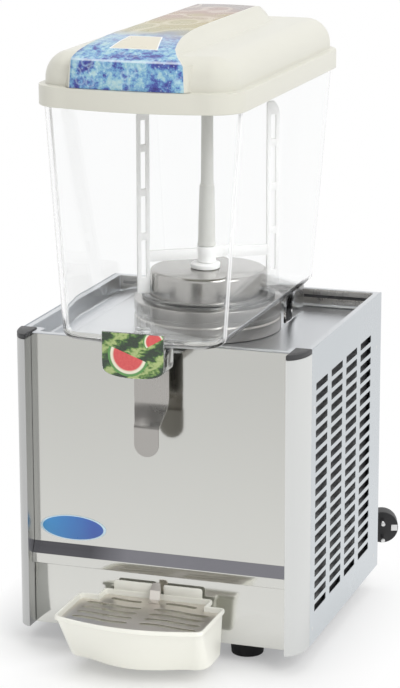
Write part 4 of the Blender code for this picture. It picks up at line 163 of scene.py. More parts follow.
class Nodes:
    """A node tree and the ways to add to it."""

    def __init__(self, tree):
        self.tree = tree

    def add(self, kind, settings=None, feeds=(), output=0):
        node = self.tree.nodes.new(kind)
        for key, value in (settings or {}).items():
            if key == "stops":
                self.stops(node.color_ramp, value)
            else:
                setattr(node, key, value)
        for key, value in feeds.items() if isinstance(feeds, dict) else enumerate(feeds):
            self.feed(node.inputs[key], value)
        return Value(self, node.outputs[output])

    def stops(self, ramp, stops):
        while len(ramp.elements) < len(stops):
            ramp.elements.new(1)
        for element, (place, colour) in zip(ramp.elements, stops):
            element.position = place
            element.color = (*colour, 1)

    def feed(self, socket, value):
        if isinstance(value, Value):
            self.tree.links.new(value.socket, socket)
        elif socket.type == "RGBA" and len(value) == 3:
            socket.default_value = (*value, 1)
        else:
            socket.default_value = value

    def show(self, surface, output):
        self.feed(self.tree.nodes[output].inputs["Surface"], surface)

    def ray(self, kind):
        return self.add("ShaderNodeLightPath", output=f"Is {kind} Ray")

    def axes(self, space="Object"):
        spot = self.add("ShaderNodeTexCoord", output=space)
        return [self.add("ShaderNodeSeparateXYZ", feeds=(spot,), output=axis) for axis in "XYZ"]


class Finish(Nodes):
    """A node material: one Principled shader and what feeds it."""

    def __init__(self, name, slot=None, **uniform):
        self.material = bpy.data.materials.new(name)
        self.material.use_nodes = True
        super().__init__(self.material.node_tree)
        self.slot = slot
        self.shader = self.tree.nodes["Principled BSDF"]
        self.surface = Value(self, self.shader.outputs[0])
        self.shade(**uniform)

    def shade(self, **fed):
        for key, value in fed.items():
            self.feed(self.shader.inputs[key.replace("_", " ")], value)
        return self

    def blend_in(self, share, other, surface=None):
        """Shows another shader over a share of the surface."""
        mixed = self.add("ShaderNodeMixShader", feeds=(share, surface or self.surface, other))
        self.show(mixed, "Material Output")
        return mixed

    def stretched(self, stretch):
        spot = self.add("ShaderNodeTexCoord", output="Object")
        return self.add("ShaderNodeVectorMath", {"operation": "MULTIPLY"}, (spot, stretch))

    def noise(self, scale, detail=3, roughness=0.5, stretch=(1, 1, 1)):
        feeds = {
            "Vector": self.stretched(stretch), "Scale": scale, "Detail": detail, "Roughness": roughness,
        }
        return self.add("ShaderNodeTexNoise", feeds=feeds)

    def cells(self, scale, feature="F1", stretch=(1, 1, 1), output="Distance"):
        feeds = {"Vector": self.stretched(stretch), "Scale": scale}
        return self.add("ShaderNodeTexVoronoi", {"feature": feature}, feeds, output)

    def between(self, value, low, high):
        """The value's place between two limits, from 0 to 1."""
        feeds = {"Value": value, "From Min": low, "From Max": high}
        return self.add("ShaderNodeMapRange", {"clamp": True}, feeds)

    def mix(self, share, first, second):
        feeds = {0: share, 6: first, 7: second}
        return self.add("ShaderNodeMix", {"data_type": "RGBA"}, feeds, output=2)

    def ramp(self, value, stops):
        return self.add("ShaderNodeValToRGB", {"stops": stops}, (value,))

    def bump(self, height, strength, distance):
        feeds = {"Height": height, "Strength": strength, "Distance": distance}
        return self.add("ShaderNodeBump", feeds=feeds)


def shaded(colour, factor):
    return tuple(min(1, part * factor) for part in colour)


def rolled_steel(name, slot, colour, roughness, grain, smudge=0.05, low=1.0, high=1.0, drift=(2, 0.05, 0.30)):
    """Sheet steel with rolling grain and wipe marks. Its colour scales from low at the start to high at the
    end of an axis: painted light and shade for how light and reflections fall on it.
    """
    finish = Finish(name, slot, Metallic=1.0)
    axis, start, end = drift
    lines = finish.noise(900, 4, 0.6, grain)
    clouds = finish.noise(9, 3, 0.55)
    scuffs = finish.between(finish.noise(55, 5, 0.7), 0.5, 0.8)
    # Painted light and shade: the colour scales from low to high along the drift axis
    share = finish.between(finish.axes()[axis], start, end)
    tone_with_painted_light = finish.mix(share, shaded(colour, low), shaded(colour, high))
    tone_with_painted_light = finish.mix(clouds * 0.15, tone_with_painted_light, shaded(colour, 0.85))
    return finish.shade(
        Base_Color=finish.mix(lines * 0.2, tone_with_painted_light, shaded(colour, 0.93)),
        Roughness=roughness + clouds * smudge + lines * (smudge * 0.6) + scuffs * (smudge * 0.5),
        Normal=finish.bump(lines, 0.05, 0.00002),
    )


def moulded(name, slot, colour, roughness, grain_scale=900, depth=0.00003, **uniform):
    """Moulded plastic: a fine orange peel and soft drifts of colour and sheen."""
    finish = Finish(name, slot, **uniform)
    peel = finish.noise(grain_scale, 3, 0.6)
    drift = finish.noise(14, 3, 0.5)
    return finish.shade(
        Base_Color=finish.mix(drift, shaded(colour, 0.975), shaded(colour, 1.02)),
        Roughness=roughness + drift * 0.08,
        Normal=finish.bump(peel, 0.15, depth),
    )


def see_through(name, slot, colour, roughness, index=1.45, painted_highlights=False):
    """Clear plastic that lets lamps through, with faint rinse marks and scratches, and with painted highlight
    lines where asked.
    """
    finish = Finish(name, slot, Transmission_Weight=1.0, IOR=index)
    haze = finish.between(finish.noise(26, 4, 0.6), 0.35, 0.8)
    scratches = finish.between(finish.noise(420, 3, 0.6, (1, 1, 0.06)), 0.62, 0.8)
    finish.shade(
        Base_Color=finish.mix(haze * 0.5, colour, shaded(colour, 0.985)),
        Roughness=roughness + haze * 0.015 + scratches * 0.02,
    )
    # Painted highlights, when asked, mix a white diffuse shader into the corners and foot
    surface = painted_highlight_lines(finish) if painted_highlights else finish.surface
    clear = finish.add("ShaderNodeBsdfTransparent", feeds=((0.93, 0.94, 0.95),))
    finish.blend_in(finish.ray("Shadow"), clear, surface)
    return finish


def painted_highlight_lines(finish):
    """Painted highlights: pale lines down a bowl's front corners and along its front foot, a white diffuse
    shader mixed in.
    """
    x, y, z = finish.axes()
    share = (z - BOWL_Z) * (1 / (BOWL_RIM_Z - BOWL_Z))
    beside = finish.between(abs(x) - share * BOWL_SPREAD, 0.0745, 0.0765)
    corner = finish.between(abs(y - behind(-0.0395)), 0.0034, 0.0016) * beside * 0.65
    low = finish.between(z, BOWL_Z + 0.0050, BOWL_Z + 0.0020)
    foot = low * finish.between(y, -0.1475, -0.1500) * 0.5
    pale = finish.add("ShaderNodeBsdfDiffuse", feeds=((0.98, 0.98, 0.98),))
    return finish.blend_in(corner + foot, pale)


def galvanised_sheet():
    finish = Finish("galvanised_sheet", "galvanised", Metallic=1.0)
    spangle = finish.cells(110, output="Color")
    shade = finish.add("ShaderNodeSeparateColor", feeds=(spangle,), output=0)
    fine = finish.noise(500, 3, 0.6)
    return finish.shade(
        Base_Color=finish.mix(shade, (0.42, 0.43, 0.45), (0.62, 0.63, 0.65)),
        Roughness=0.32 + shade * 0.16 + fine * 0.05,
        Normal=finish.bump(fine, 0.15, 0.00003),
    )


def black_rubber():
    finish = Finish("foot_rubber", "rubber", Specular_IOR_Level=0.3)
    grain = finish.noise(700, 4, 0.65)
    dust = finish.between(finish.noise(45, 4, 0.6), 0.5, 0.8)
    return finish.shade(
        Base_Color=finish.mix(dust * 0.25, (0.012, 0.012, 0.013), (0.06, 0.058, 0.055)),
        Roughness=0.72 + grain * 0.15,
        Normal=finish.bump(grain, 0.4, 0.0001),
    )


def bare_copper():
    finish = Finish("copper_tube", "copper", Metallic=1.0)
    stain = finish.noise(60, 4, 0.6)
    fine = finish.noise(800, 3, 0.6)
    return finish.shade(
        Base_Color=finish.mix(stain, (0.75, 0.36, 0.22), (0.5, 0.22, 0.13)),
        Roughness=0.22 + stain * 0.18,
        Normal=finish.bump(fine, 0.1, 0.00002),
    )


def compressor_paint():
    finish = Finish("black_enamel", "black_paint", Coat_Weight=0.35)
    peel = finish.noise(350, 3, 0.5)
    dust = finish.between(finish.noise(30, 4, 0.6), 0.45, 0.8)
    return finish.shade(
        Base_Color=finish.mix(dust * 0.2, (0.012, 0.012, 0.013), (0.09, 0.085, 0.08)),
        Roughness=0.3 + dust * 0.25,
        Normal=finish.bump(peel, 0.25, 0.00006),
    )


def printed_lid():
    """A glossy printed film: blue bubbles and drifts in front, soft warm discs on the top."""
    sheen = {"Coat_Weight": 0.12, "Coat_Roughness": 0.06, "Specular_IOR_Level": 0.25}
    finish = Finish("lid_film", "ivory_plastic", **sheen)
    x, y, z = finish.axes()
    warp = finish.noise(38, 3, 0.55)
    ripple = ((x * 90 + z * 210 + y * 60 + warp * 8).math("SINE") + 1) * 0.5
    big = finish.cells(78)
    small = finish.cells(230)
    blue = finish.ramp(
        ripple * 0.12 + finish.noise(85, 5, 0.72) * 1.5 - 0.27,
        [
            (0.30, (0.05, 0.045, 0.24)),
            (0.42, (0.08, 0.11, 0.40)),
            (0.54, (0.17, 0.37, 0.62)),
            (0.66, (0.34, 0.58, 0.68)),
            (0.82, (0.54, 0.71, 0.70)),
        ],
    )
    ring = finish.between(abs(big - 0.34), 0.1, 0.02)
    dots = finish.between(small, 0.22, 0.14)
    blue = finish.mix(ring * 0.3, blue, (0.66, 0.86, 0.92))
    blue = finish.mix(dots * 0.3, blue, (0.82, 0.93, 0.96))
    # A painted highlight: a pale line along the fold where the film bends back
    fold = finish.between(abs(z - 0.6036), 0.0013, 0.0004)
    blue = finish.mix(fold * 0.6, blue, (0.78, 0.86, 0.93))
    paler = finish.between(y, -0.142, -0.122) * 0.4
    blue = finish.mix(paler, blue, (0.52, 0.60, 0.70))
    disc = finish.cells(34, "SMOOTH_F1", (1, 0.7, 1))
    warm = finish.ramp(
        finish.between(y, -0.105, 0.15) * 0.66 + disc * 0.34 + finish.noise(30, 3, 0.5) * 0.12 - 0.06,
        [
            (0.08, (0.28, 0.30, 0.34)),
            (0.22, (0.44, 0.41, 0.24)),
            (0.38, (0.43, 0.37, 0.18)),
            (0.56, (0.39, 0.25, 0.20)),
            (0.76, (0.34, 0.30, 0.29)),
        ],
    )
    warm = finish.mix(finish.between(abs(disc - 0.42), 0.06, 0.02) * 0.3, warm, (0.93, 0.86, 0.72))
    picture = finish.mix(finish.between(y + warp * 0.03, -0.092, -0.070), blue, warm)
    # A cream patch with a white border on the sloping part, wider in front
    half = 0.0239 - (y + 0.1423) * 0.206
    across = abs(x + 0.005) - half
    along = abs(y + 0.1243)
    border = finish.between(across, 0.0002, -0.0004) * finish.between(along, 0.0182, 0.0176)
    patch = finish.between(across, -0.0010, -0.0016) * finish.between(along, 0.0172, 0.0166)
    picture = finish.mix(border, picture, (0.93, 0.94, 0.93))
    picture = finish.mix(patch, picture, (0.74, 0.70, 0.58))
    return finish.shade(
        Base_Color=picture,
        Roughness=0.24 + warp * 0.08,
        Normal=finish.bump(finish.noise(500, 2, 0.5), 0.06, 0.00002),
    )


def printed_cover():
    """The tap cover's film: wedges of a red melon with green rind over dark leaves."""
    finish = Finish("tap_film", "print_plastic", Coat_Weight=0.6, Coat_Roughness=0.05)
    x, _, z = finish.axes()
    veins = finish.noise(110, 4, 0.6, (1, 1, 1.8))
    blades = ((x * 190 - z * 240 + veins * 9).math("SINE") + 1) * 0.5
    picture = finish.ramp(
        blades,
        [
            (0.0, (0.012, 0.03, 0.012)),
            (0.35, (0.03, 0.09, 0.02)),
            (0.7, (0.14, 0.27, 0.05)),
            (1.0, (0.42, 0.52, 0.2)),
        ],
    )
    wedges = ((-0.0045, 0.3255, 0.0205, 0.35), (0.0215, 0.3400, 0.0110, 2.6))
    for centre_x, centre_z, size, lean in wedges:
        across = x - centre_x
        rise = z - centre_z
        reach = (across * across + rise * rise).math("SQRT") / size
        wedge = across * math.sin(lean) + rise * math.cos(lean) < 0.0012
        flesh = finish.mix(finish.noise(420, 3, 0.6), (0.62, 0.035, 0.045), (0.8, 0.13, 0.12))
        flesh = finish.mix(finish.between(reach, 0.7, 0.78), flesh, (0.86, 0.84, 0.66))
        flesh = finish.mix(finish.between(reach, 0.86, 0.9), flesh, (0.1, 0.3, 0.07))
        picture = finish.mix((reach < 1.0) * wedge, picture, flesh)
    return finish.shade(Base_Color=picture, Roughness=0.2 + veins * 0.1)


def badge_blue():
    finish = Finish("badge_enamel", "print_plastic", Coat_Weight=0.8, Coat_Roughness=0.05)
    x, _, z = finish.axes()
    cloud = finish.noise(80, 2, 0.5)
    along = finish.between(x + cloud * 0.008, -0.123, -0.065)
    blue = finish.mix(along, (0.02, 0.3, 0.66), (0.025, 0.1, 0.44))
    reach_x = (x - BADGE_X) / BADGE_HALF_X
    reach_z = (z - BADGE_Z) / BADGE_HALF_Z
    reach = (reach_x * reach_x + reach_z * reach_z).math("SQRT")
    rim = finish.between(reach, 0.915, 0.935)
    picture = finish.mix(rim, blue, (0.62, 0.8, 0.9))
    return finish.shade(Base_Color=picture, Roughness=0.25 + cloud * 0.08)


def fins():
    finish = Finish("fin_aluminium", "aluminium", Metallic=1.0)
    _, y, _ = finish.axes()
    lines = ((y * 3200).math("SINE") + 1) * 0.5
    dust = finish.noise(40, 4, 0.6)
    return finish.shade(
        Base_Color=finish.mix(dust, (0.2, 0.2, 0.21), (0.38, 0.38, 0.39)),
        Roughness=0.35 + dust * 0.25,
        Normal=finish.bump(lines, 0.5, 0.0004),
    )


# Which way the rolling grain runs
UPRIGHT = (1, 1, 0.02)
ACROSS = (0.02, 1, 1)

MIRROR, BRUSHED, POST = "mirror_steel", "brushed_steel", "post_metal"
# Painted reflection: the front's steel is lighter low down and darker towards the top
front_steel = rolled_steel("front_steel", MIRROR, (0.62, 0.62, 0.59), 0.07, UPRIGHT, low=1.13, high=0.86)
# A bluer, brighter copy of the front's steel for the sides: painted light from the right, with painted shade
# darkening it towards the top
side_steel = rolled_steel("side_steel", MIRROR, (0.65, 0.69, 0.72), 0.24, UPRIGHT, low=0.96, high=0.86)
deck_steel = rolled_steel("deck_steel", MIRROR, (0.69, 0.71, 0.735), 0.27, ACROSS)
# A bluer copy of the steel for the front's ledge: painted reflection of a dark room, with painted shade
# darkening its left end
ledge_steel = rolled_steel(
    "ledge_steel", MIRROR, (0.69, 0.685, 0.75), 0.09, ACROSS, low=0.32, drift=(0, -0.072, -0.034)
)
# A darker, browner copy of the mirror steel: painted shade and reflection for the drum inside the bowl; its
# top edge is painted lighter, a painted highlight
drum_steel = rolled_steel(
    "drum_steel", MIRROR, (0.475, 0.465, 0.445), 0.16, (1, 1, 0.05), low=0.87, high=0.97,
    drift=(2, 0.359, 0.3638),
)
satin_steel = rolled_steel("satin_steel", BRUSHED, (0.43, 0.415, 0.395), 0.22, (1, 1, 0.03), 0.08)
grille_steel = rolled_steel("grille_steel", BRUSHED, (0.80, 0.76, 0.71), 0.24, ACROSS, 0.08)
bright_steel = rolled_steel("bright_steel", BRUSHED, (0.7, 0.7, 0.7), 0.06, (1, 1, 0.1), 0.04)
post_finish = rolled_steel("post_aluminium", POST, (0.74, 0.75, 0.74), 0.26, (1, 1, 0.015), 0.06)
# A darker copy of the post metal for the left post: painted shade
post_painted_shade = rolled_steel("post_left_aluminium_painted_shade", POST, (0.52, 0.525, 0.52), 0.26, (1, 1, 0.015), 0.06)
zinc = galvanised_sheet()
# One ivory plastic in two tones: the lid's darker copy is painted shade, the tray's paler copy painted light
# from the floor's bounce
lid_ivory = moulded("lid_ivory", "ivory_plastic", (0.71, 0.70, 0.62), 0.26)
tray_ivory = moulded("tray_ivory", "ivory_plastic", (0.955, 0.95, 0.87), 0.32, Coat_Weight=0.15)
white = moulded("stirrer_white", "white_plastic", (0.93, 0.93, 0.92), 0.38)
# A greyer copy of the stirrer's white plastic for the riser tube and its head: painted shade
tube_white_painted_shade = moulded("tube_white_painted_shade", "white_plastic", (0.68, 0.68, 0.645), 0.38)
black = moulded("black_moulding", "black_plastic", (0.046, 0.046, 0.048), 0.42, 1400, 0.00008)
cord_black = moulded("cord_black", "black_plastic", (0.014, 0.014, 0.015), 0.42, 1100, 0.00006)
# The bowl's clear plastic, with painted highlights down its front corners and along its foot
clear = see_through("bowl_clear", "clear_plastic", (0.985, 0.988, 0.988), 0.0, 1.2, True)
clear_tap = see_through("tap_clear", "clear_plastic", (0.9, 0.91, 0.92), 0.03)
seal = see_through("seal_silicone", "seal_rubber", (0.9, 0.91, 0.91), 0.25, 1.3)
rubber = black_rubber()
copper = bare_copper()
enamel = compressor_paint()
lid_film = printed_lid()
tap_film = printed_cover()
badge_film = badge_blue()
fin_metal = fins()
green = moulded("switch_green", "switch_green", (0.03, 0.3, 0.09), 0.22, Coat_Weight=0.3)


# Making pieces


def rounded(corners, steps=5, closed=True):
    """The points of an outline, its corners (x, y, radius) rounded off."""
    points = []
    last = len(corners) - 1
    for i, (x, y, radius) in enumerate(corners):
        here = Vector((x, y))
        if radius == 0 or (not closed and i in (0, last)):
            points.append(here)
            continue
        before = Vector(corners[i - 1][:2]) - here
        after = Vector(corners[(i + 1) % (last + 1)][:2]) - here
        half = before.angle(after) / 2
        reach = min(radius / math.tan(half), before.length * 0.499, after.length * 0.499)
        radius = reach * math.tan(half)
        start = before.normalized() * reach
        end = after.normalized() * reach
        centre = (before.normalized() + after.normalized()).normalized() * (radius / math.sin(half))
        for j in range(steps + 1):
            toward = (start - centre).lerp(end - centre, j / steps)
            points.append(here + centre + toward.normalized() * radius)
    return [(point.x, point.y) for point in points]


def arc(x, y, radius, start, end, steps):
    """Points along an arc, from one angle in degrees to another."""
    turns = [math.radians(start + (end - start) * i / steps) for i in range(steps + 1)]
    return [(x + radius * math.cos(turn), y + radius * math.sin(turn)) for turn in turns]


def circle(x, y, radius, steps):
    return arc(x, y, radius, 0, 360, steps)[:-1]


def quarter(steps):
    """The cosines and sines along a quarter turn."""
    return arc(0, 0, 1, 0, 90, steps)


def raised(outline, z):
    return [(x, y, z) for x, y in outline]


def square_to(line, k, a=0, b=1):
    """The direction square to a line at its point k, seen in two of its coordinates."""
    before, after = line[max(k - 1, 0)], line[min(k + 1, len(line) - 1)]
    along = Vector((after[a] - before[a], after[b] - before[b])).normalized()
    return Vector((along.y, -along.x))


def add_loops(shape, loops, low_cap=True, high_cap=True, joined=False):
    """Equal loops of points joined in turn into one skin."""
    rings = [[shape.verts.new(point) for point in loop] for loop in loops]
    pairs = list(zip(rings, rings[1:]))
    if joined:
        pairs.append((rings[-1], rings[0]))
    for ring, following in pairs:
        for i in range(len(ring)):
            j = (i + 1) % len(ring)
            shape.faces.new((ring[i], ring[j], following[j], following[i]))
    if low_cap and not joined:
        shape.faces.new(rings[0])
    if high_cap and not joined:
        shape.faces.new(rings[-1])
    return rings


def bevelled(shape, width, steps):
    """Rounds off the edges that bend by more than 40 degrees."""
    sharp = []
    for edge in shape.edges:
        if len(edge.link_faces) == 2 and edge.calc_face_angle(0) > math.radians(40):
            sharp.append(edge)
    bmesh.ops.bevel(
        shape, geom=sharp, offset=width, segments=steps, profile=0.5, affect="EDGES", clamp_overlap=True
    )


def piece(name, shape, body, finishes, stands_for=None, edge=0, angle=32, steps=2):
    """A mesh made into a finished piece that rides on a body."""
    bmesh.ops.remove_doubles(shape, verts=shape.verts, dist=1e-6)
    bmesh.ops.recalc_face_normals(shape, faces=shape.faces)
    if edge:
        bevelled(shape, edge, steps)
    mesh = bpy.data.meshes.new(name)
    shape.to_mesh(mesh)
    shape.free()
    finishes = finishes if isinstance(finishes, list) else [finishes]
    for finish in finishes:
        mesh.materials.append(finish.material)
    mesh.shade_smooth()
    mesh.set_sharp_from_angle(angle=math.radians(angle))
    thing = bpy.data.objects.new(name, mesh)
    scene.collection.objects.link(thing)
    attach(thing, body)
    if stands_for:
        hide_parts(stands_for)
    return thing


def add_block(shape, corner, opposite):
    """A plain block between two opposite corners."""
    x, y, z = (sorted(pair) for pair in zip(corner, opposite))
    outline = ((x[0], y[0]), (x[1], y[0]), (x[1], y[1]), (x[0], y[1]))
    add_loops(shape, [raised(outline, level) for level in z])


def block(name, corner, opposite, body, finish, stands_for=None, **looks):
    shape = bmesh.new()
    add_block(shape, corner, opposite)
    piece(name, shape, body, finish, stands_for, **looks)


def skin(name, loops, body, finish, stands_for=None, joined=False, **looks):
    """A piece whose skin joins equal loops of points."""
    shape = bmesh.new()
    add_loops(shape, loops, joined=joined)
    piece(name, shape, body, finish, stands_for, **looks)


def add_turned(shape, profile, centre, direction, steps):
    """A profile (radius, height) turned about an axis; points on the axis close it."""
    turn = Vector(direction).to_track_quat("Z", "Y").to_matrix()
    centre = Vector(centre)
    loops = []
    for i in range(steps):
        spin = 2 * math.pi * i / steps
        loops.append([(r * math.cos(spin), r * math.sin(spin), h) for r, h in profile])
    rings = [[shape.verts.new(centre + turn @ Vector(point)) for point in loop] for loop in loops]
    count = len(profile)
    for i, ring in enumerate(rings):
        following = rings[(i + 1) % steps]
        for j in range(count):
            k = (j + 1) % count
            if profile[j][0] == 0 and profile[k][0] == 0:
                continue
            corners = [ring[j], following[j], following[k], ring[k]]
            if profile[j][0] == 0:
                corners = [ring[j], following[k], ring[k]]
            elif profile[k][0] == 0:
                corners = [ring[j], following[j], ring[k]]
            shape.faces.new(corners)
    bmesh.ops.remove_doubles(shape, verts=shape.verts, dist=1e-6)


def turned(name, corners, centre, body, finish, stands_for=None, direction=(0, 0, 1), steps=64, bend=4):
    """A turned piece from a closed outline of (radius, height, rounding)."""
    shape = bmesh.new()
    add_turned(shape, rounded(corners, bend), centre, direction, steps)
    return piece(name, shape, body, finish, stands_for)


def studs(name, corners, centres, body, finish, direction, steps, bend):
    """One turned form at several centres, as one piece."""
    shape = bmesh.new()
    for centre in centres:
        add_turned(shape, rounded(corners, bend), centre, direction, steps)
    return piece(name, shape, body, finish)


def ribs(name, places, half, centre, direction, steps):
    """Thin black rings of (radius, height) round one axis, as one piece."""
    shape = bmesh.new()
    for radius, height in places:
        low, high, root = height - half, height + half, radius - 0.001
        ring = ((root, low, 0), (radius, low, 0.0003), (radius, high, 0.0003), (root, high, 0))
        add_turned(shape, rounded(ring, 2), centre, direction, steps)
    return piece(name, shape, "cabinet", cord_black)


def take_in(shape, part, place):
    """Moves a part by a matrix and adds it to a shape."""
    bmesh.ops.transform(part, matrix=place, verts=part.verts)
    held = bpy.data.meshes.new("held")
    part.to_mesh(held)
    part.free()
    shape.from_mesh(held)
    bpy.data.meshes.remove(held)


def add_slab(shape, outline, holes, depth, place):
    """A flat outline with holes, given thickness along its own z and set by a matrix."""
    flat = bmesh.new()
    for loop in (outline, *holes):
        corners = [flat.verts.new((x, y, 0)) for x, y in loop]
        for start, end in zip(corners, corners[1:] + corners[:1]):
            flat.edges.new((start, end))
    bmesh.ops.triangle_fill(flat, use_beauty=True, edges=flat.edges[:])
    made = bmesh.ops.extrude_face_region(flat, geom=flat.faces[:])
    moved = [item for item in made["geom"] if isinstance(item, bmesh.types.BMVert)]
    bmesh.ops.translate(flat, vec=(0, 0, depth), verts=moved)
    take_in(shape, flat, place)


def slab(name, outline, holes, depth, place, body, finish, stands_for=None, **looks):
    shape = bmesh.new()
    add_slab(shape, outline, holes, depth, place)
    piece(name, shape, body, finish, stands_for, **looks)


def oblong(x, y, half_x, half_y, radius, steps):
    corners = ((-half_x, -half_y), (half_x, -half_y), (half_x, half_y), (-half_x, half_y))
    return rounded([(x + a, y + b, radius) for a, b in corners], steps)


def facing_x(x):
    """Stands an outline of (y, z) upright at this x."""
    return Matrix(((0, 0, 1, x), (1, 0, 0, 0), (0, 1, 0, 0), (0, 0, 0, 1)))


def facing_y(y):
    """Stands an outline of (x, z) upright at this y."""
    return Matrix(((1, 0, 0, 0), (0, 0, 1, y), (0, 1, 0, 0), (0, 0, 0, 1)))


def add_bent(shape, corners, thickness, low_x, high_x, steps):
    """A sheet folded along a line of (y, z, fold radius), from one x to another."""
    line = [Vector(point) for point in rounded(corners, steps, closed=False)]
    far = [point - square_to(line, k) * thickness for k, point in enumerate(line)]
    outline = line + far[::-1]
    add_loops(shape, [[(x, *point) for point in outline] for x in (low_x, high_x)])


def plan(half_width, front, back, corner, bulge, z):
    """A rectangle with round corners whose front bows out by the bulge, at a height."""
    points = []
    straight = half_width - corner
    for i in range(17):
        share = 2 * i / 16 - 1
        points.append((straight * share, front - bulge * (1 - share * share)))
    points += arc(straight, front + corner, corner, -90, 0, 10)[1:]
    points += arc(straight, back - corner, corner, 0, 90, 10)
    points += arc(-straight, back - corner, corner, 90, 180, 10)
    points += arc(-straight, front + corner, corner, 180, 270, 10)[:-1]
    return raised(points, z)


def line_piece(name, points, radius, body, finish, stands_for, stretch=None):
    """A round wire or tube along points. Given a stretch, it is made a mesh that rides on no body; the
    stretch's body and ends are not used.
    """
    curve = bpy.data.curves.new(name, "CURVE")
    curve.dimensions = "3D"
    curve.bevel_depth = radius
    curve.bevel_resolution = 4
    curve.use_fill_caps = True
    spline = curve.splines.new("POLY")
    spline.points.add(len(points) - 1)
    for point, place in zip(spline.points, points):
        point.co = (*place, 1)
    spline.use_smooth = True
    curve.materials.append(finish.material)
    thing = bpy.data.objects.new(name, curve)
    if stretch:
        mesh = bpy.data.meshes.new_from_object(thing)
        bpy.data.objects.remove(thing)
        thing = bpy.data.objects.new(name, mesh)
    scene.collection.objects.link(thing)
    if stretch:
        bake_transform(thing)
    else:
        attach(thing, body)
    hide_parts(*stands_for)
    return thing


# Cord and plug


def smooth(route):
    """A curve through the route's points, with straight first and last stretches."""
    route = [Vector(point) for point in route]
    points = [route[0]]
    for i in range(1, len(route) - 2):
        before, start, end, after = route[i - 1 : i + 3]
        for j in range(4):
            t = j / 4
            away = (end - before) / 2
            home = (after - start) / 2
            points.append(
                start * (2 * t**3 - 3 * t**2 + 1)
                + away * (t**3 - 2 * t**2 + t)
                + end * (3 * t**2 - 2 * t**3)
                + home * (t**3 - t**2)
            )
    return points + [route[-2], route[-1]]


def coil():
    """Four layers in and out by turns, each a layer higher."""
    layers, layer_steps, turn_steps = 4, 42, 24
    points = []
    for i in range(layers * layer_steps + 1):
        layer, along = divmod(i, layer_steps)
        inward = layer_steps - along if layer % 2 else along
        radius = 0.0425 - 0.0079 * inward / turn_steps
        height = sum(min(1, max(0, (i - k * layer_steps) / 12 + 0.5)) for k in range(1, layers))
        turn = 2 * math.pi * i / turn_steps
        x, y = -0.0025 + radius * math.cos(turn), 0.2870 + radius * math.sin(turn)
        points.append(Vector((x, y, 0.0038 + 0.0077 * height)))
    straight = Vector((0, 0.007, 0))
    return [points[0] - straight] + points + [points[-1] + straight]


LEAD = (
    (0.0400, 0.2043, 0.0420), (0.0400, 0.2120, 0.0420), (0.0400, 0.2299, 0.0368),
    (0.0400, 0.2424, 0.0229), (0.0400, 0.2548, 0.0090), (0.0400, 0.2727, 0.0038),
    (0.0400, 0.2797, 0.0038),
)
TAIL = (
    (0.0400, 0.2943, 0.0269), (0.0400, 0.3013, 0.0269), (0.0400, 0.3230, 0.0215),
    (0.0400, 0.3420, 0.0115), (0.0400, 0.3620, 0.0046), (0.0405, 0.3850, 0.0038),
    (0.0500, 0.4070, 0.0038), (0.0720, 0.4160, 0.0040), (0.0935, 0.4060, 0.0075),
    (0.1015, 0.3840, 0.0140), (0.1038, 0.3695, 0.0183), (0.1060, 0.3628, 0.0183),
)
PLUG_PLACE = Vector((0.1215, 0.3150, 0.0183))
PLUG_TURN = math.radians(18)


def plug():
    forward = Vector((math.sin(PLUG_TURN), -math.cos(PLUG_TURN), 0))
    across = Vector((0, 0, 1))
    corners = (
        (0, 0, 0),
        (0.0180, 0, 0.0016),
        (0.0180, -0.0195, 0.003),
        (0.0112, -0.0345, 0.004),
        (0.0052, -0.0500, 0.0012),
        (0, -0.0500, 0),
    )
    shell = turned("plug_shell", corners, PLUG_PLACE, "cabinet", cord_black, "plug", forward, 48)
    places = [(0.0098 - i * 0.00075, -0.0385 - i * 0.0020) for i in range(6)]
    rings = ribs("plug_ribs", places, 0.0006, PLUG_PLACE, forward, 24)
    corners = ((0, 0.0188, 0), (0.0023, 0.0188, 0.0012), (0.0023, -0.0005, 0), (0, -0.0005, 0))
    feet = [PLUG_PLACE + across * (side * 0.0095) for side in (-1, 1)]
    pins = studs("plug_pins", corners, feet, "cabinet", bright_steel, forward, 20, 4)
    place = Matrix((across, forward, forward.cross(across))).transposed().to_4x4()
    place.translation = PLUG_PLACE
    clips = bmesh.new()
    for side in (-1, 1):
        rise = side * 0.0172
        clip = bmesh.new()
        add_block(clip, (-0.0035, -0.013, rise), (0.0035, -0.001, rise + side * 0.0006))
        add_block(clip, (-0.0035, -0.0012, side * 0.010), (0.0035, 0.0002, rise))
        take_in(clips, clip, place)
    return [shell, rings, pins, piece("plug_clips", clips, "cabinet", bright_steel, edge=0.0002)]


def cord():
    parts = plug()
    route = smooth(LEAD) + coil() + smooth(TAIL)
    lead = line_piece("cord", route, 0.0035, "cabinet", cord_black, ("cord_lead", "cord_coil", "cord_tail"))
    length = sum((b - a).length for a, b in zip(route, route[1:]))
    corners = (
        (0, 0.0300, 0), (0.0052, 0.0300, 0.0008), (0.0073, 0.0026, 0.001), (0.0105, 0.0026, 0.0006),
        (0.0105, 0, 0.0003), (0.0075, 0, 0), (0.0075, -0.004, 0), (0, -0.004, 0),
    )
    gland = (CORD_X, CONTROLS_Y, CORD_Z)
    turned("gland", corners, gland, "cabinet", cord_black, "cord_gland", (0, 1, 0), 32)
    places = [(0.0075 - i * 0.00026, 0.0065 + i * 0.0032) for i in range(7)]
    ribs("gland_ribs", places, 0.0008, gland, (0, 1, 0), 28)


# Cabinet


def post_plan(inset, sign):
    x, y = POST_X + inset, behind(0.0161) - inset
    reach_x, reach_y = 0.0167 - 2 * inset, 0.0329 - 2 * inset
    bow = [(x + reach_x * a, y + reach_y * b) for a, b in arc(0, 0, 1, -90, 0, 28)]
    return [(sign * a, b) for a, b in [(x, y), *bow]]


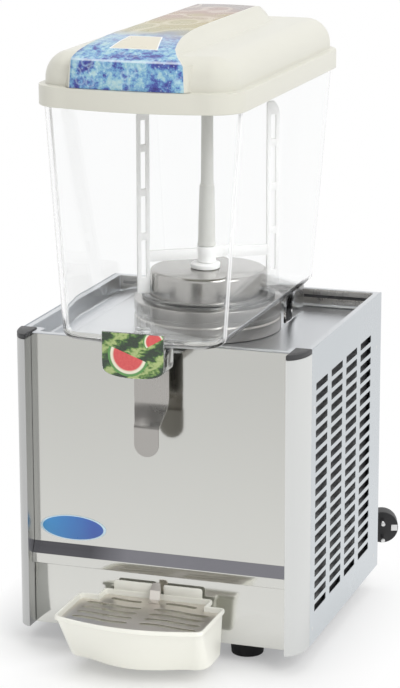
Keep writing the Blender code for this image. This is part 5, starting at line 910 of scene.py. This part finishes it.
def posts():
    # The left post takes the darker copy of the post metal, painted shade
    for side, sign, finish in (("left", -1, post_painted_shade), ("right", 1, post_finish)):
        outer, inner = post_plan(0, sign), post_plan(0.0015, sign)
        heights = ((outer, SHEET_Z), (outer, 0.3177), (inner, 0.3177), (inner, SHEET_Z))
        loops = [raised(line, z) for line, z in heights]
        skin(f"post_{side}", loops, "cabinet", finish, f"corner_post_{side}", joined=True, edge=0.0003)
        high, spigot = post_plan(0.0006, sign), post_plan(0.0018, sign)
        heights = ((spigot, 0.3120), (spigot, 0.3180), (outer, 0.3180), (outer, 0.3217), (high, 0.3227))
        loops = [raised(line, z) for line, z in heights]
        skin(f"post_cap_{side}", loops, "cabinet", black, f"corner_cap_{side}", edge=0.0004)


def front():
    half = POST_X - 0.0003
    fold = bmesh.new()
    corners = (
        (behind(0), 0.3200, 0),
        (behind(0), 0.1070, 0.0022),
        (behind(-0.006), 0.0947, 0.0022),
        (behind(-0.006), 0.0845, 0.0012),
        (behind(0.004), 0.0845, 0),
    )
    add_bent(fold, corners, 0.0012, -half, half, 5)
    # The ledge's faces take ledge_steel, a copy of the steel with painted reflection and shade
    for face in fold.faces:
        face.material_index = int(0.0955 < face.calc_center_median().z < 0.1065)
    piece("front_sheet", fold, "cabinet", [front_steel, ledge_steel], "front_panel")
    low, high = (-half, behind(0), SHEET_Z), (half, behind(0.0012), 0.0842)
    block("lower_sheet", low, high, "cabinet", front_steel, "lower_front_panel", edge=0.0004)
    oval = [(BADGE_X + BADGE_HALF_X * x, BADGE_Z + BADGE_HALF_Z * z) for x, z in circle(0, 0, 1, 72)]
    slab("badge", oval, (), 0.0007, facing_y(behind(-0.0007)), "cabinet", badge_film, edge=0.0003)


def sides():
    front_y, top_z = behind(0.0164), 0.3213
    corners = ((front_y, SHEET_Z, 0), (REAR_Y, SHEET_Z, 0), (REAR_Y, top_z, 0.0012), (front_y, top_z, 0.0012))
    outline = rounded(corners, 3)
    holes = []
    for column in range(4):
        middle = behind(0.0525) + 0.0545 * column
        for row in range(LOUVRE_ROWS):
            holes.append(oblong(middle, LOUVRE_Z + LOUVRE_PITCH * row, 0.0205, 0.0036, 0.0009, 3))
    rivet = ((0, 0.0003, 0), (0.0016, 0.0003, 0.0003), (0.0021, 0, 0), (0, 0, 0))
    for side, sign in (("left", -1), ("right", 1)):
        place = facing_x(0.1487 if sign > 0 else -0.1498)
        slab(
            f"side_sheet_{side}", outline, holes, 0.0011, place, "cabinet", side_steel, f"side_panel_{side}",
            edge=0.0002, steps=1,
        )
        spots = ((-0.066, 0.262), (0.168, 0.266), (-0.066, 0.036), (0.168, 0.036))
        centres = [(sign * 0.1497, y, z) for y, z in spots]
        studs(f"side_rivets_{side}", rivet, centres, "cabinet", post_finish, (sign, 0, 0), 20, 3)
        # A black sheet just inside the louvres: painted shade for the dark inside of the cabinet
        corner, opposite = (sign * 0.1445, -0.060, 0.045), (sign * 0.1450, 0.165, 0.297)
        block(f"side_shade_sheet_{side}", corner, opposite, "cabinet", black)


def deck():
    def level(inset, z, radius):
        x, x_post = 0.1485 - inset, 0.1330 - inset
        front_y, notch_y, back_y = -0.0898 + inset, -0.0749 + inset, REAR_Y - inset
        corners = [(-x_post, front_y), (x_post, front_y), (x_post, notch_y), (x, notch_y),
                   (x, back_y), (-x, back_y), (-x, notch_y), (-x_post, notch_y)]
        return raised(rounded([(a, b, radius) for a, b in corners], 4), z)

    loops = [level(0, 0.3008, 0.0005), level(0, RIM_Z - 0.0008, 0.0005), level(0.0008, RIM_Z, 0.0005),
             level(0.0052, RIM_Z, 0.002), level(0.006, RIM_Z - 0.0008, 0.002)]
    for cos, sin in quarter(4):
        loops.append(level(0.006 + 0.003 * (1 - cos), DECK_Z + 0.003 * (1 - sin), 0.003))
    skin("deck_tray", loops, "cabinet", deck_steel, "top_deck")
    outline = [(-0.1415, 0.3052), (0.1415, 0.3052), (0.1415, 0.3205), (-0.1415, 0.3205)]
    hole = oblong(0, 0.3132, 0.1385, 0.0016, 0.0012, 3)
    place = facing_y(REAR_Y - 0.0068)
    slab("deck_rear_strip", outline, (hole,), 0.0008, place, "cabinet", satin_steel, edge=0.0002)
    # A black block behind the rear strip's slit: painted shade for the gap under the strip
    corner, opposite = (-0.1400, REAR_Y - 0.0062, 0.3112), (0.1400, REAR_Y - 0.0060, 0.3152)
    block("deck_rear_shade_block", corner, opposite, "cabinet", black)


def back():
    outline = oblong(0, (SHEET_Z + 0.3005) / 2, 0.1485, (0.3005 - SHEET_Z) / 2, 0.001, 3)
    holes = []
    for x in (-0.062, 0.062):
        for row in range(7):
            holes.append(oblong(x, 0.1625 + 0.012 * row, 0.030, 0.0025, 0.0024, 5))
    for x in SWITCH_XS:
        holes.append(oblong(x, SWITCH_Z, 0.0113, 0.0073, 0.0005, 2))
    holes += [circle(KNOB_X, SWITCH_Z, 0.0035, 20), circle(CORD_X, CORD_Z, 0.0078, 24)]
    place = facing_y(REAR_FACE_Y - 0.0012)
    slab("rear_sheet", outline, holes, 0.0012, place, "cabinet", zinc, "rear_panel", edge=0.0002, steps=1)
    screw = ((0, 0.0022, 0), (0.0028, 0.0019, 0.0009), (0.0035, 0, 0), (0, 0, 0))
    centres = [(x, REAR_FACE_Y, z) for x in (-0.140, 0.0, 0.140) for z in (0.030, 0.290)]
    studs("rear_screws", screw, centres, "cabinet", bright_steel, (0, 1, 0), 24, 4)


def feet():
    for name in ("front_left", "front_right", "rear_left", "rear_right"):
        low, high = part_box(f"foot_{name}")
        centre = ((low[0] + high[0]) / 2, (low[1] + high[1]) / 2, 0)
        corners = ((0, 0, 0), (0.0160, 0, 0.0015), (0.0168, 0.0095, 0.004), (0.0175, 0.0125, 0.0008),
                   (0.0175, 0.0197, 0.0006), (0, 0.0197, 0))
        turned(f"rubber_foot_{name}", corners, centre, "cabinet", rubber, f"foot_{name}", steps=48)


# Cooling drum and stirrer


def drum():
    corners = (
        (0, 0.3680, 0), (0.003, 0.3680, 0.0008), (0.003, 0.3640, 0.0006), (0.0590, 0.3640, 0.0038),
        (0.0590, ON_DECK_Z, 0), (0.0578, ON_DECK_Z, 0), (0.0578, 0.3628, 0.003), (0, 0.3628, 0),
    )
    turned("drum_shell", corners, DRUM_AXIS, "cabinet", drum_steel, "drum", steps=128, bend=6)
    top = 0.3323
    corners = (
        (0.0750, top, 0.0012), (0.0750, top - 0.011, 0.0008), (0.0738, top - 0.0125, 0.0006),
        (0.0738, top - 0.0165, 0.0006), (0.0750, top - 0.018, 0.0008), (0.0750, ON_DECK_Z, 0.0008),
        (0.0593, ON_DECK_Z, 0), (0.0593, top, 0),
    )
    turned("drum_ring", corners, DRUM_AXIS, "cabinet", satin_steel, "drum_base", steps=128, bend=3)


def stirrer():
    wheel = (
        (0.0055, 0.3760, 0), (0.0082, 0.3760, 0.0005), (0.0082, 0.3703, 0.0012), (0.0172, 0.3690, 0.0009),
        (0.0172, 0.3643, 0.0012), (0.0033, 0.3643, 0), (0.0033, 0.3680, 0), (0.0055, 0.3680, 0),
    )
    turned("impeller_wheel", wheel, DRUM_AXIS, "stirrer", white, "impeller", steps=64)
    tube = (
        (0.0040, 0.5400, 0), (0.0060, 0.5400, 0.0004), (0.0069, 0.4510, 0.0004), (0.0081, 0.4490, 0.0006),
        (0.0097, 0.3920, 0.002), (0.0106, 0.3873, 0.0006), (0.0082, 0.3873, 0), (0.0082, 0.3830, 0),
        (0.0040, 0.3830, 0),
    )
    turned("riser_tube", tube, DRUM_AXIS, "stirrer", tube_white_painted_shade, "spray_tube", steps=48)
    head = (
        (0, 0.5510, 0), (0.0080, 0.5495, 0.0012), (0.0095, 0.5470, 0.001), (0.0095, 0.5403, 0.0008),
        (0.0037, 0.5403, 0), (0.0037, 0.5380, 0), (0, 0.5380, 0),
    )
    turned("riser_head", head, DRUM_AXIS, "stirrer", tube_white_painted_shade, "spray_head", steps=48)
    arms = bmesh.new()
    place = Matrix.Translation(DRUM_AXIS) @ Matrix.Rotation(STIRRER_TURN, 4, "Z")
    for side in (-1, 1):
        corners = ((0.0608, 0.342, 0.0015), (0.0735, 0.342, 0.0015), (0.0735, 0.5230, 0.003),
                   (0.0690, 0.532, 0.003), (0.0608, 0.532, 0.003))
        outline = rounded(corners, 4)
        holes = []
        for i in range(4):
            low = 0.3585 + 0.045 * i
            high = min(low + 0.038, 0.5185)
            holes.append(oblong(0.06715, (low + high) / 2, 0.0027, (high - low) / 2, 0.001, 3))
        outline, *holes = [[(side * x, z) for x, z in line] for line in (outline, *holes)]
        add_slab(arms, outline, holes, 0.004, place @ facing_y(-0.002))
    bar = oblong(0, 0.3795, 0.0612, 0.0055, 0.001, 3)
    add_slab(arms, bar, (), 0.0036, place @ facing_y(-0.0018))
    piece("stirrer_arms", arms, "stirrer", white, "stirrer_frame", edge=0.0005)
    hub = ((0.0085, 0.3870, 0), (0.0106, 0.3870, 0.0006), (0.0106, 0.3706, 0.0008), (0.0085, 0.3706, 0))
    turned("stirrer_hub", hub, DRUM_AXIS, "stirrer", white, steps=48)


# Bowl and lid


def bowl_plan(z, inset):
    share = (z - BOWL_Z) / (BOWL_RIM_Z - BOWL_Z)
    return plan(
        0.0809 + BOWL_SPREAD * share - inset,
        behind(inset - 0.0645 - 0.0055 * share),
        behind(0.2723 + 0.0165 * share - inset),
        0.025 + 0.006 * share - inset,
        0.0035 + 0.0045 * share,
        z,
    )


def bowl():
    wall, edge_z = 0.003, BOWL_RIM_Z - 0.0008
    outer = [bowl_plan(BOWL_Z + 0.008 * (1 - cos), 0.008 * (1 - sin)) for cos, sin in quarter(6)]
    upper = ((0.42, 0), (0.50, 0), (edge_z, 0), (BOWL_RIM_Z, 0.0008))
    outer += [bowl_plan(z, inset) for z, inset in upper]
    lower = ((BOWL_RIM_Z, 0.0022), (edge_z, wall), (0.50, wall), (0.42, wall))
    inner = [bowl_plan(z, inset) for z, inset in lower]
    for cos, sin in quarter(6):
        inner.append(bowl_plan(BOWL_FLOOR_Z + 0.006 * (1 - sin), wall + 0.006 * (1 - cos)))
    shape = bmesh.new()
    rings = add_loops(shape, outer + inner, False, False)
    holes = []
    for y, radius, steps in ((DRUM_Y, 0.0635, 96), (TAP_Y, 0.0108, 32)):
        loops = [raised(circle(0, y, radius, steps), z) for z in (BOWL_Z, BOWL_FLOOR_Z)]
        holes.append(add_loops(shape, loops, False, False))
    for level, outline in ((0, rings[0]), (1, rings[-1])):
        edges = []
        for ring in (outline, *(hole[level] for hole in holes)):
            edges += [shape.edges.get(ends) for ends in zip(ring, ring[1:] + ring[:1])]
        bmesh.ops.triangle_fill(shape, use_beauty=True, edges=edges)
    piece("clear_bowl", shape, "bowl", clear, "bowl", angle=40)
    for side, sign in (("left", -1), ("right", 1)):
        corner, opposite = (sign * 0.0729, 0.0947, ON_DECK_Z), (sign * 0.0699, 0.1587, BOWL_Z - 0.0001)
        block(f"bowl_leg_{side}", corner, opposite, "bowl", clear, edge=0.0008)
    corners = (
        (0.0670, 0.3386, 0.0008), (0.0670, 0.3364, 0.0006), (0.0632, 0.3364, 0), (0.0632, BOWL_Z, 0.0006),
        (0.0593, BOWL_Z, 0.0004), (0.0593, 0.3386, 0.0008),
    )
    turned("gasket_ring", corners, DRUM_AXIS, "bowl", seal, "bowl_gasket", steps=128, bend=3)


def lid_plan(z, inset):
    return plan(0.1016 - inset, behind(inset - 0.0738), behind(0.2926 - inset), 0.034 - inset, 0.009, z)


def lid():
    low_z, seat_z = 0.5568, 0.5723
    places = ((low_z, 0.0006), (0.5574, 0), (0.5752, 0), (0.5761, 0.0004), (0.5764, 0.0013),
              (0.5764, 0.0058), (0.5771, 0.0065))
    outer = [lid_plan(z, inset) for z, inset in places]
    for cos, sin in quarter(14)[1:]:
        outer.append(lid_plan(0.6075 - 0.026 * (1 - sin), 0.0065 + 0.0245 * (1 - cos)))
    places = ((0.6045, 0.036), (0.6000, 0.0200), (0.5860, 0.0100), (seat_z, 0.0095), (seat_z, 0.003),
              (low_z, 0.003))
    inner = [lid_plan(z, inset) for z, inset in places]
    shape = bmesh.new()
    rings = add_loops(shape, outer, low_cap=False)
    inside = add_loops(shape, inner, high_cap=False)
    for i in range(len(rings[0])):
        j = (i + 1) % len(rings[0])
        shape.faces.new((rings[0][i], inside[-1][i], inside[-1][j], rings[0][j]))
    piece("lid_shell", shape, "lid", lid_ivory, "lid", angle=30)


def ridge():
    """The lid's raised middle: an upright front that folds back into a ramp, a long top and a rear ramp."""
    front, foot_z, fold_z = -0.0754, 0.5768, 0.6010
    path = [(front, foot_z, -0.0593, 0.0527), (front, fold_z, -0.0575, 0.0518)]
    for i, (cos, sin) in enumerate(arc(0, 0, 1, 0, 78, 5)[1:], 1):
        path.append((front + 0.004 * (1 - cos), fold_z + 0.004 * sin, -0.0575, 0.0518 - 0.0007 * i))
    path += [
        (-0.0660, 0.6068, -0.0575, 0.0440), (-0.0575, 0.6095, -0.0565, 0.0395),
        (-0.0470, 0.6127, -0.0535, 0.0345), (-0.0330, 0.6163, -0.0490, 0.0318),
        (-0.0143, 0.6193, -0.0440, 0.0292), (0.0030, 0.6208, -0.0410, 0.0280),
        (0.0225, 0.6216, -0.0380, 0.0262), (0.0500, 0.6223, -0.0360, 0.0255),
        (0.1000, 0.6225, -0.0360, 0.0255), (0.1500, 0.6225, -0.0360, 0.0255),
        (0.2000, 0.6225, -0.0360, 0.0255), (0.2270, 0.6223, -0.0360, 0.0255),
        (0.2400, 0.6208, -0.0362, 0.0258), (0.2500, 0.6160, -0.0370, 0.0270),
        (0.2600, 0.6100, -0.0380, 0.0280), (0.2735, fold_z, -0.0395, 0.0300),
    ]
    shape = bmesh.new()
    rows = []
    for k, (setback, z, left, right) in enumerate(path):
        inward = square_to(path, k)
        rise = min(1, max(0, (z - 0.6050) / 0.0175))
        flank = 0.003 + 0.013 * rise
        depth = min(0.0185, 0.004 + 0.6 * (z - foot_z))
        bow = 0.0029 * max(0, 1 - (setback - front) / 0.030)
        across = []
        for i in range(13):
            share = i / 12
            across.append((left + (right - left) * share, 0.0006 * (2 * share - 1) ** 2 * rise))
        edge = [(0.0016, 0.0014), (0.0028, 0.0034), (0.0028 + flank * 0.45, 0.0030 + depth * 0.35),
                (0.0028 + flank, 0.0030 + depth * 0.7), (0.0028 + flank * 1.35, 0.0030 + depth)]
        line = [(left - x, d) for x, d in edge[::-1]] + across + [(right + x, d) for x, d in edge]
        row = []
        for x, d in line:
            share = min(1, abs(x) / 0.0560)
            y = behind(setback) + inward.x * d - bow * (1 - share * share)
            row.append(shape.verts.new((x, y, z + inward.y * d)))
        rows.append(row)
    for k, (row, following) in enumerate(zip(rows, rows[1:])):
        for i in range(len(row) - 1):
            face = shape.faces.new((row[i], row[i + 1], following[i + 1], following[i]))
            face.material_index = int(5 <= i < 17 and k < len(path) - 5)
    for row in (rows[0], rows[-1]):
        shape.faces.new(row)
    piece("lid_ridge", shape, "lid", [lid_ivory, lid_film], angle=50)


# Tap


def tap():
    corners = (
        (0.0060, 0.3381, 0), (0.0105, 0.3381, 0.0008), (0.0105, 0.3323, 0), (0.0140, 0.3323, 0.0006),
        (0.0140, 0.3020, 0.0010), (0.0080, 0.3020, 0.0006), (0.0080, 0.3220, 0), (0.0060, 0.3220, 0),
    )
    turned("tap_housing", corners, (0, TAP_Y, 0), "bowl", clear_tap, "tap_body", steps=48)
    corner, opposite = (-0.011, -0.1614, 0.306), (0.011, TAP_Y - 0.0135, 0.326)
    block("tap_block", corner, opposite, "bowl", clear_tap, edge=0.001)

    def cover(inset, top):
        half = 0.031 - inset
        points = [(-half, top), (-half, 0.318)]
        for i in range(1, 24):
            turn = math.pi * i / 24
            drop = (0.015 - inset) * math.sqrt(math.sin(turn))
            points.append((-half * math.cos(turn), 0.318 - drop))
        return points + [(half, 0.318), (half, top)]

    plate = bmesh.new()
    add_slab(plate, cover(0, 0.3470), (), 0.0025, facing_y(behind(-0.073)))
    bmesh.ops.recalc_face_normals(plate, faces=plate.faces)
    for face in plate.faces:
        face.material_index = int(face.normal.y < -0.9)
    piece("tap_cover_plate", plate, "bowl", [clear_tap, tap_film], "tap_cover", edge=0.0006)
    front_y, back_y = behind(-0.0704), behind(-0.045)
    loops = []
    for (a, b), (c, d) in zip(cover(0, 0.3320), cover(0.0025, 0.3320)):
        loops.append([(a, front_y, b), (a, back_y, b), (c, back_y, d), (c, front_y, d)])
    skin("tap_cover_wall", loops, "bowl", clear_tap, edge=0.0004)
    low, length, steps = 0.3139, 0.0073, 4 * 24
    round_axis = arc(0, TAP_Y, 0.0068, 0, 4 * 360, steps)
    points = [(x, y, low + length * i / steps) for i, (x, y) in enumerate(round_axis)]
    stretch = ("bowl", (0, TAP_Y, low), (0, TAP_Y, low + length))
    line_piece("tap_coil_spring", points, 0.0004, "plunger", bright_steel, ("tap_spring",), stretch)
    pin = ((0, 0.019, 0), (0.0015, 0.019, 0.0004), (0.0015, -0.019, 0.0004), (0, -0.019, 0))
    turned("hinge_pin", pin, (0, PIN_Y, PIN_Z), "bowl", bright_steel, "lever_pin", (1, 0, 0), 20)


def lever():
    back_y, paddle_y = -0.1120, -0.1280
    line = [(0.0178, back_y, 0.3064), (0.0178, back_y, 0.2720)]
    for share in (0.25, 0.5, 0.75, 1):
        line.append((0.0178 - 0.0006 * share, back_y - 0.0011 * share * share, 0.2720 - 0.0070 * share))
    line += [(0.0164, -0.1158, 0.2600), (0.0148, -0.1200, 0.2540), (0.0133, -0.1240, 0.2480)]
    for share in (0.25, 0.5, 0.75, 1):
        y = -0.1240 - 0.0040 * share * (2 - share)
        line.append((0.0133 - 0.0008 * share, y, 0.2480 - 0.0050 * share))
    for i in range(13):
        turn = math.pi / 2 * i / 12.6
        line.append((0.0125 * math.cos(turn), paddle_y, 0.2285 - 0.0125 * math.sin(turn)))
    loops = []
    for k, (half, y, z) in enumerate(line):
        out = square_to(line, k, 1, 2) * 0.00075
        loops.append([
            (-half, y + out.x, z + out.y), (half, y + out.x, z + out.y),
            (half, y - out.x, z - out.y), (-half, y - out.x, z - out.y),
        ])
    shape = bmesh.new()
    add_loops(shape, loops)
    eye = arc(PIN_Y, PIN_Z, 0.005, 60, 240, 18)
    eye += [(-0.1433, 0.3005), (-0.1115, 0.3005), (-0.1115, 0.3072), (-0.1383, 0.3072)]
    for low_x in (-0.0174, 0.0159):
        add_slab(shape, eye, (circle(PIN_Y, PIN_Z, 0.0018, 20),), 0.0015, facing_x(low_x))
    piece("lever_paddle", shape, "lever", satin_steel, "tap_lever", edge=0.0003, angle=30)


# Drip tray


def tray_plan(z, inset, tail_y, tail_inset, share=0):
    """The tray's plan at a height, from its rim (share 0) to its bottom (1). Its tail reaches back to a y."""
    half = 0.076 - 0.0025 * share - inset
    corner = 0.008 + 0.006 * share
    straight = half - corner
    front_y, back_y = behind(inset - 0.098 + 0.0245 * share), behind(-inset - 0.024)
    bow = 0.012 + 0.004 * share
    front = []
    for i in range(25):
        along = 2 * i / 24 - 1
        front.append((straight * along, front_y - bow * (1 - along * along) ** (1 + 0.6 * share)))
    right = arc(straight, front_y + corner, corner, -90, 0, 8)[1:]
    right += arc(half - 0.004, back_y - 0.004, 0.004, 0, 90, 4)
    tail = 0.057 - tail_inset
    corner = min(0.003, max(0, tail_y - back_y))
    right += [(tail, back_y), *arc(tail - corner, tail_y - corner, corner, 0, 90, 4)]
    return raised(front + right + [(-x, y) for x, y in right[::-1]], z)


def tray():
    wall, lip, lip_z, bottom = 0.0025, 0.0015, 0.0620, 0.016
    rear_y = behind(-0.005)
    inner_rear_y = rear_y - wall

    def level(z, inset, tail_inset, tail_z, tail_y):
        share = min(1, max(0, (lip_z - z) / (lip_z - bottom - 0.003)))
        return tray_plan(z, inset, behind(-inset - 0.024) if z < tail_z else tail_y, tail_inset, share)

    bend = ((0, 0.0030), (0.0008, 0.0011), (0.0022, 0.0002))
    outside = [(bottom + rise, lip + inset, lip) for rise, inset in bend]
    outside += [(z, lip, lip) for z in (0.0200, 0.0260, 0.0310, 0.0358, 0.0360, 0.0440, 0.0520, 0.0603)]
    outside += [(0.0611, 0.0012, 0.0012), (0.0617, 0.0004, 0.0004), (lip_z, 0, 0), (0.0648, 0, 0),
                (0.0656, 0.0003, 0.0003), (TRAY_RIM_Z, 0.0010, 0.0010)]
    inside = ((TRAY_RIM_Z, 0.0016, 0.0016), (0.0656, 0.0023, 0.0023), (0.0648, wall, wall),
              (0.0593, wall, wall), (0.0593, 0.0062, 0.0062), (0.0386, 0.0048, 0.0062),
              (0.0382, 0.0048, 0.0062), (0.0215, 0.0048, 0.0062), (0.0185, 0.0080, 0.0062))
    loops = [level(*place, 0.0359, rear_y) for place in outside]
    loops += [level(*place, 0.0384, inner_rear_y) for place in inside]
    shape = bmesh.new()
    add_loops(shape, loops)
    corners = ((0.0062, 0.0652, 0), (0.0460, 0.0652, 0), (0.0460, 0.0760, 0.0025), (0.0062, 0.0760, 0.0012))
    for side, sign in (("left", -1), ("right", 1)):
        outline = [(sign * x, z) for x, z in rounded(corners, 4)]
        place = facing_y(inner_rear_y + 0.0003)
        slab(f"tray_tab_{side}", outline, (), wall - 0.0006, place, "tray", tray_ivory, edge=0.0005)
    piece("tray_basin", shape, "tray", tray_ivory, "drip_tray", angle=35)


def wave(x):
    return 0.0022 * math.sin(2 * math.pi * x / 0.076)


def wavy(inner_x, outer_x, middle, side):
    """A slot's outline that follows the wave and narrows at its ends."""
    near, far = [], []
    half = 0.0031
    for j in range(25):
        x = side * (inner_x + (outer_x - inner_x) * j / 24)
        end = min(1, min(j, 24 - j) / 2)
        width = max(half * math.sqrt(1 - (1 - end) ** 2), half * 0.25)
        near.append((x, middle + wave(x) - width))
        far.append((x, middle + wave(x) + width))
    return near + far[::-1]


def grille():
    inset = 0.0031
    kept = []
    for x, y, z in tray_plan(0, inset, behind(-0.005) - 0.0030, inset + 0.0003):
        if not kept or math.dist((x, y), kept[-1]) > 1e-5:
            kept.append((x, y))
    holes = []
    for side in (-1, 1):
        for i in range(4):
            holes.append(wavy(0.006, 0.064, behind(-0.037 - 0.0138 * i), side))
        holes.append(wavy(0.012, 0.045, behind(-0.0185), side))
    place = Matrix.Translation((0, 0, 0.0596))
    looks = {"edge": 0.0003, "steps": 1}
    slab("grille_plate", kept, holes, 0.0012, place, "grille", grille_steel, "drip_grille", **looks)
    corners = ((behind(-0.0215), 0.0612, 0), (behind(-0.0160), 0.0625, 0.002),
               (behind(-0.0138), 0.0720, 0.003), (behind(-0.0098), 0.0783, 0))
    line = rounded(corners, 5, closed=False)
    loops = []
    for k, (y, z) in enumerate(line):
        out = square_to(line, k) * 0.0006
        half = 0.0038 if k == len(line) - 1 else 0.0054
        section = ((-half, 1), (-half * 0.5, 0.4), (0, 0), (half * 0.5, 0.4), (half, 1),
                   (half, -1), (0, -2.2), (-half, -1))
        loops.append([(x, y + out.x * share, z + out.y * share) for x, share in section])
    skin("grille_tongue", loops, "grille", grille_steel, angle=50)


# Rear controls


def controls():
    for number, x in enumerate(SWITCH_XS, 1):
        shape = bmesh.new()
        outline = oblong(x, SWITCH_Z, 0.013, 0.009, 0.0015, 4)
        well = oblong(x, SWITCH_Z, 0.0093, 0.0056, 0.0004, 2)
        add_slab(shape, outline, (well,), 0.002, facing_y(CONTROLS_Y))
        corner, opposite = (x - 0.0108, CONTROLS_Y - 0.016, 0.1133), (x + 0.0108, CONTROLS_Y - 0.0004, 0.1267)
        add_block(shape, corner, opposite)
        piece(f"rocker_frame_{number}", shape, "cabinet", black, f"switch_frame_{number}", edge=0.0004)
    corners = ((0, 0.010, 0), (0.0130, 0.010, 0.0012), (0.0130, 0.0022, 0.0006), (0.0150, 0.0016, 0.0005),
               (0.0150, 0, 0.0003), (0, 0, 0))
    centre = (KNOB_X, CONTROLS_Y, SWITCH_Z)
    turned("knob_cap", corners, centre, "knob", black, "thermostat_knob", (0, 1, 0), 48)
    rib = ((0, 0.0088, 0), (0.0007, 0.0088, 0.0003), (0.0007, 0.0026, 0), (0, 0.0026, 0))
    centres = [(x, CONTROLS_Y, z) for x, z in circle(KNOB_X, SWITCH_Z, 0.0130, 24)]
    studs("knob_ribs", rib, centres, "knob", black, (0, 1, 0), 10, 2)
    corner, opposite = (-0.0256, REAR_FACE_Y + 0.0101, 0.1235), (-0.0244, REAR_FACE_Y + 0.0104, 0.1318)
    block("knob_mark", corner, opposite, "knob", white)


def carried_over():
    """The solids that keep their own form take this scene's finishes."""
    kept = {
        "galvanised": zinc, "copper": copper, "black_paint": enamel, "black_plastic": black,
        "aluminium": fin_metal, BRUSHED: satin_steel, MIRROR: deck_steel, "white_plastic": white,
        "seal_rubber": seal, "switch_green": green, "rubber": rubber, "clear_plastic": clear_tap,
        POST: post_finish, "ivory_plastic": tray_ivory, "print_plastic": tap_film,
    }
    slots = {entry["node"]: entry["material_slot"] for entry in frame["record"]["subparts"]}
    for name, node in frame["nodes"].items():
        if node.hide_render:
            continue
        for holder in node.material_slots:
            holder.material = (seal if name == "tap_plunger" else kept[slots[name]]).material


# Floor, world and lamps


def floor():
    """A white floor that glows to the eye, and darkens under the cabinet and the drip tray."""
    far = 12
    outline = ((-far, -far), (far, -far), (far, far), (-far, far))
    shape = bmesh.new()
    shape.faces.new([shape.verts.new(point) for point in raised(outline, 0)])
    mesh = bpy.data.meshes.new("floor")
    shape.to_mesh(mesh)
    shape.free()
    finish = Finish("floor_paper", Roughness=0.9, Specular_IOR_Level=0.0)
    tooth = finish.noise(6, 3, 0.5)
    finish.shade(Base_Color=finish.mix(tooth, (0.94, 0.94, 0.935), (0.96, 0.96, 0.955)))
    seen = finish.ray("Camera")
    for kind in ("Glossy", "Transmission"):
        seen = seen.math("MAXIMUM", finish.ray(kind))
    glow = finish.add("ShaderNodeEmission", feeds=((1, 1, 1), 1))
    x, y, _ = finish.axes()
    gaps = []
    for middle_y, half_x, half_y in ((0.042, 0.15, 0.148), (-0.14, 0.060, 0.045)):
        out_x = (abs(x) - half_x).math("MAXIMUM", 0)
        out_y = (abs(y - middle_y) - half_y).math("MAXIMUM", 0)
        gaps.append((out_x * out_x + out_y * out_y).math("SQRT"))
    away = finish.between(gaps[0].math("MINIMUM", gaps[1]), 0.0, 0.075)
    finish.blend_in(seen * (away * 0.73 + 0.27), glow)
    mesh.materials.append(finish.material)
    thing = bpy.data.objects.new("floor", mesh)
    scene.collection.objects.link(thing)


def world():
    """White all round for the eye; for reflections a dark upper part in front, as in a room."""
    studio = bpy.data.worlds.new("studio")
    scene.world = studio
    studio.use_nodes = True
    sky = Nodes(studio.node_tree)
    plain = sky.ray("Camera").math("MAXIMUM", sky.ray("Transmission"))
    seen = plain.math("MAXIMUM", sky.ray("Glossy"))
    _, y, z = sky.axes("Generated")
    high = (z - 0.30).math("MULTIPLY", 7, clamp=True)
    ahead = (0.15 - y).math("MULTIPLY", 4, clamp=True)
    below = (0.80 - z).math("MULTIPLY", 8, clamp=True)
    dark = high * below * ahead * (1 - plain)
    soft = sky.add("ShaderNodeBackground", feeds=((1, 1, 1), 0.54))
    bright = sky.add("ShaderNodeBackground", feeds=((1, 1, 1), 1 - dark * 0.72))
    sky.show(sky.add("ShaderNodeMixShader", feeds=(seen, soft, bright)), "World Output")


def lamp(name, toward, strength, spread):
    """A soft wide lamp far off, shining from a direction."""
    light = bpy.data.lights.new(name, "SUN")
    light.energy = strength
    light.angle = math.radians(spread)
    thing = bpy.data.objects.new(name, light)
    scene.collection.objects.link(thing)
    thing.rotation_euler = (-Vector(toward)).to_track_quat("-Z", "Y").to_euler()
    thing.visible_glossy = False


camera()
cord()
posts()
front()
sides()
deck()
back()
feet()
drum()
stirrer()
bowl()
lid()
ridge()
tap()
lever()
tray()
grille()
controls()
carried_over()
floor()
world()
lamp("key_lamp", (0.72, -0.42, 0.75), 1.4, 40)
lamp("top_lamp", (-0.10, 0.20, 1.0), 0.78, 50)
scene.view_settings.view_transform = "Standard"
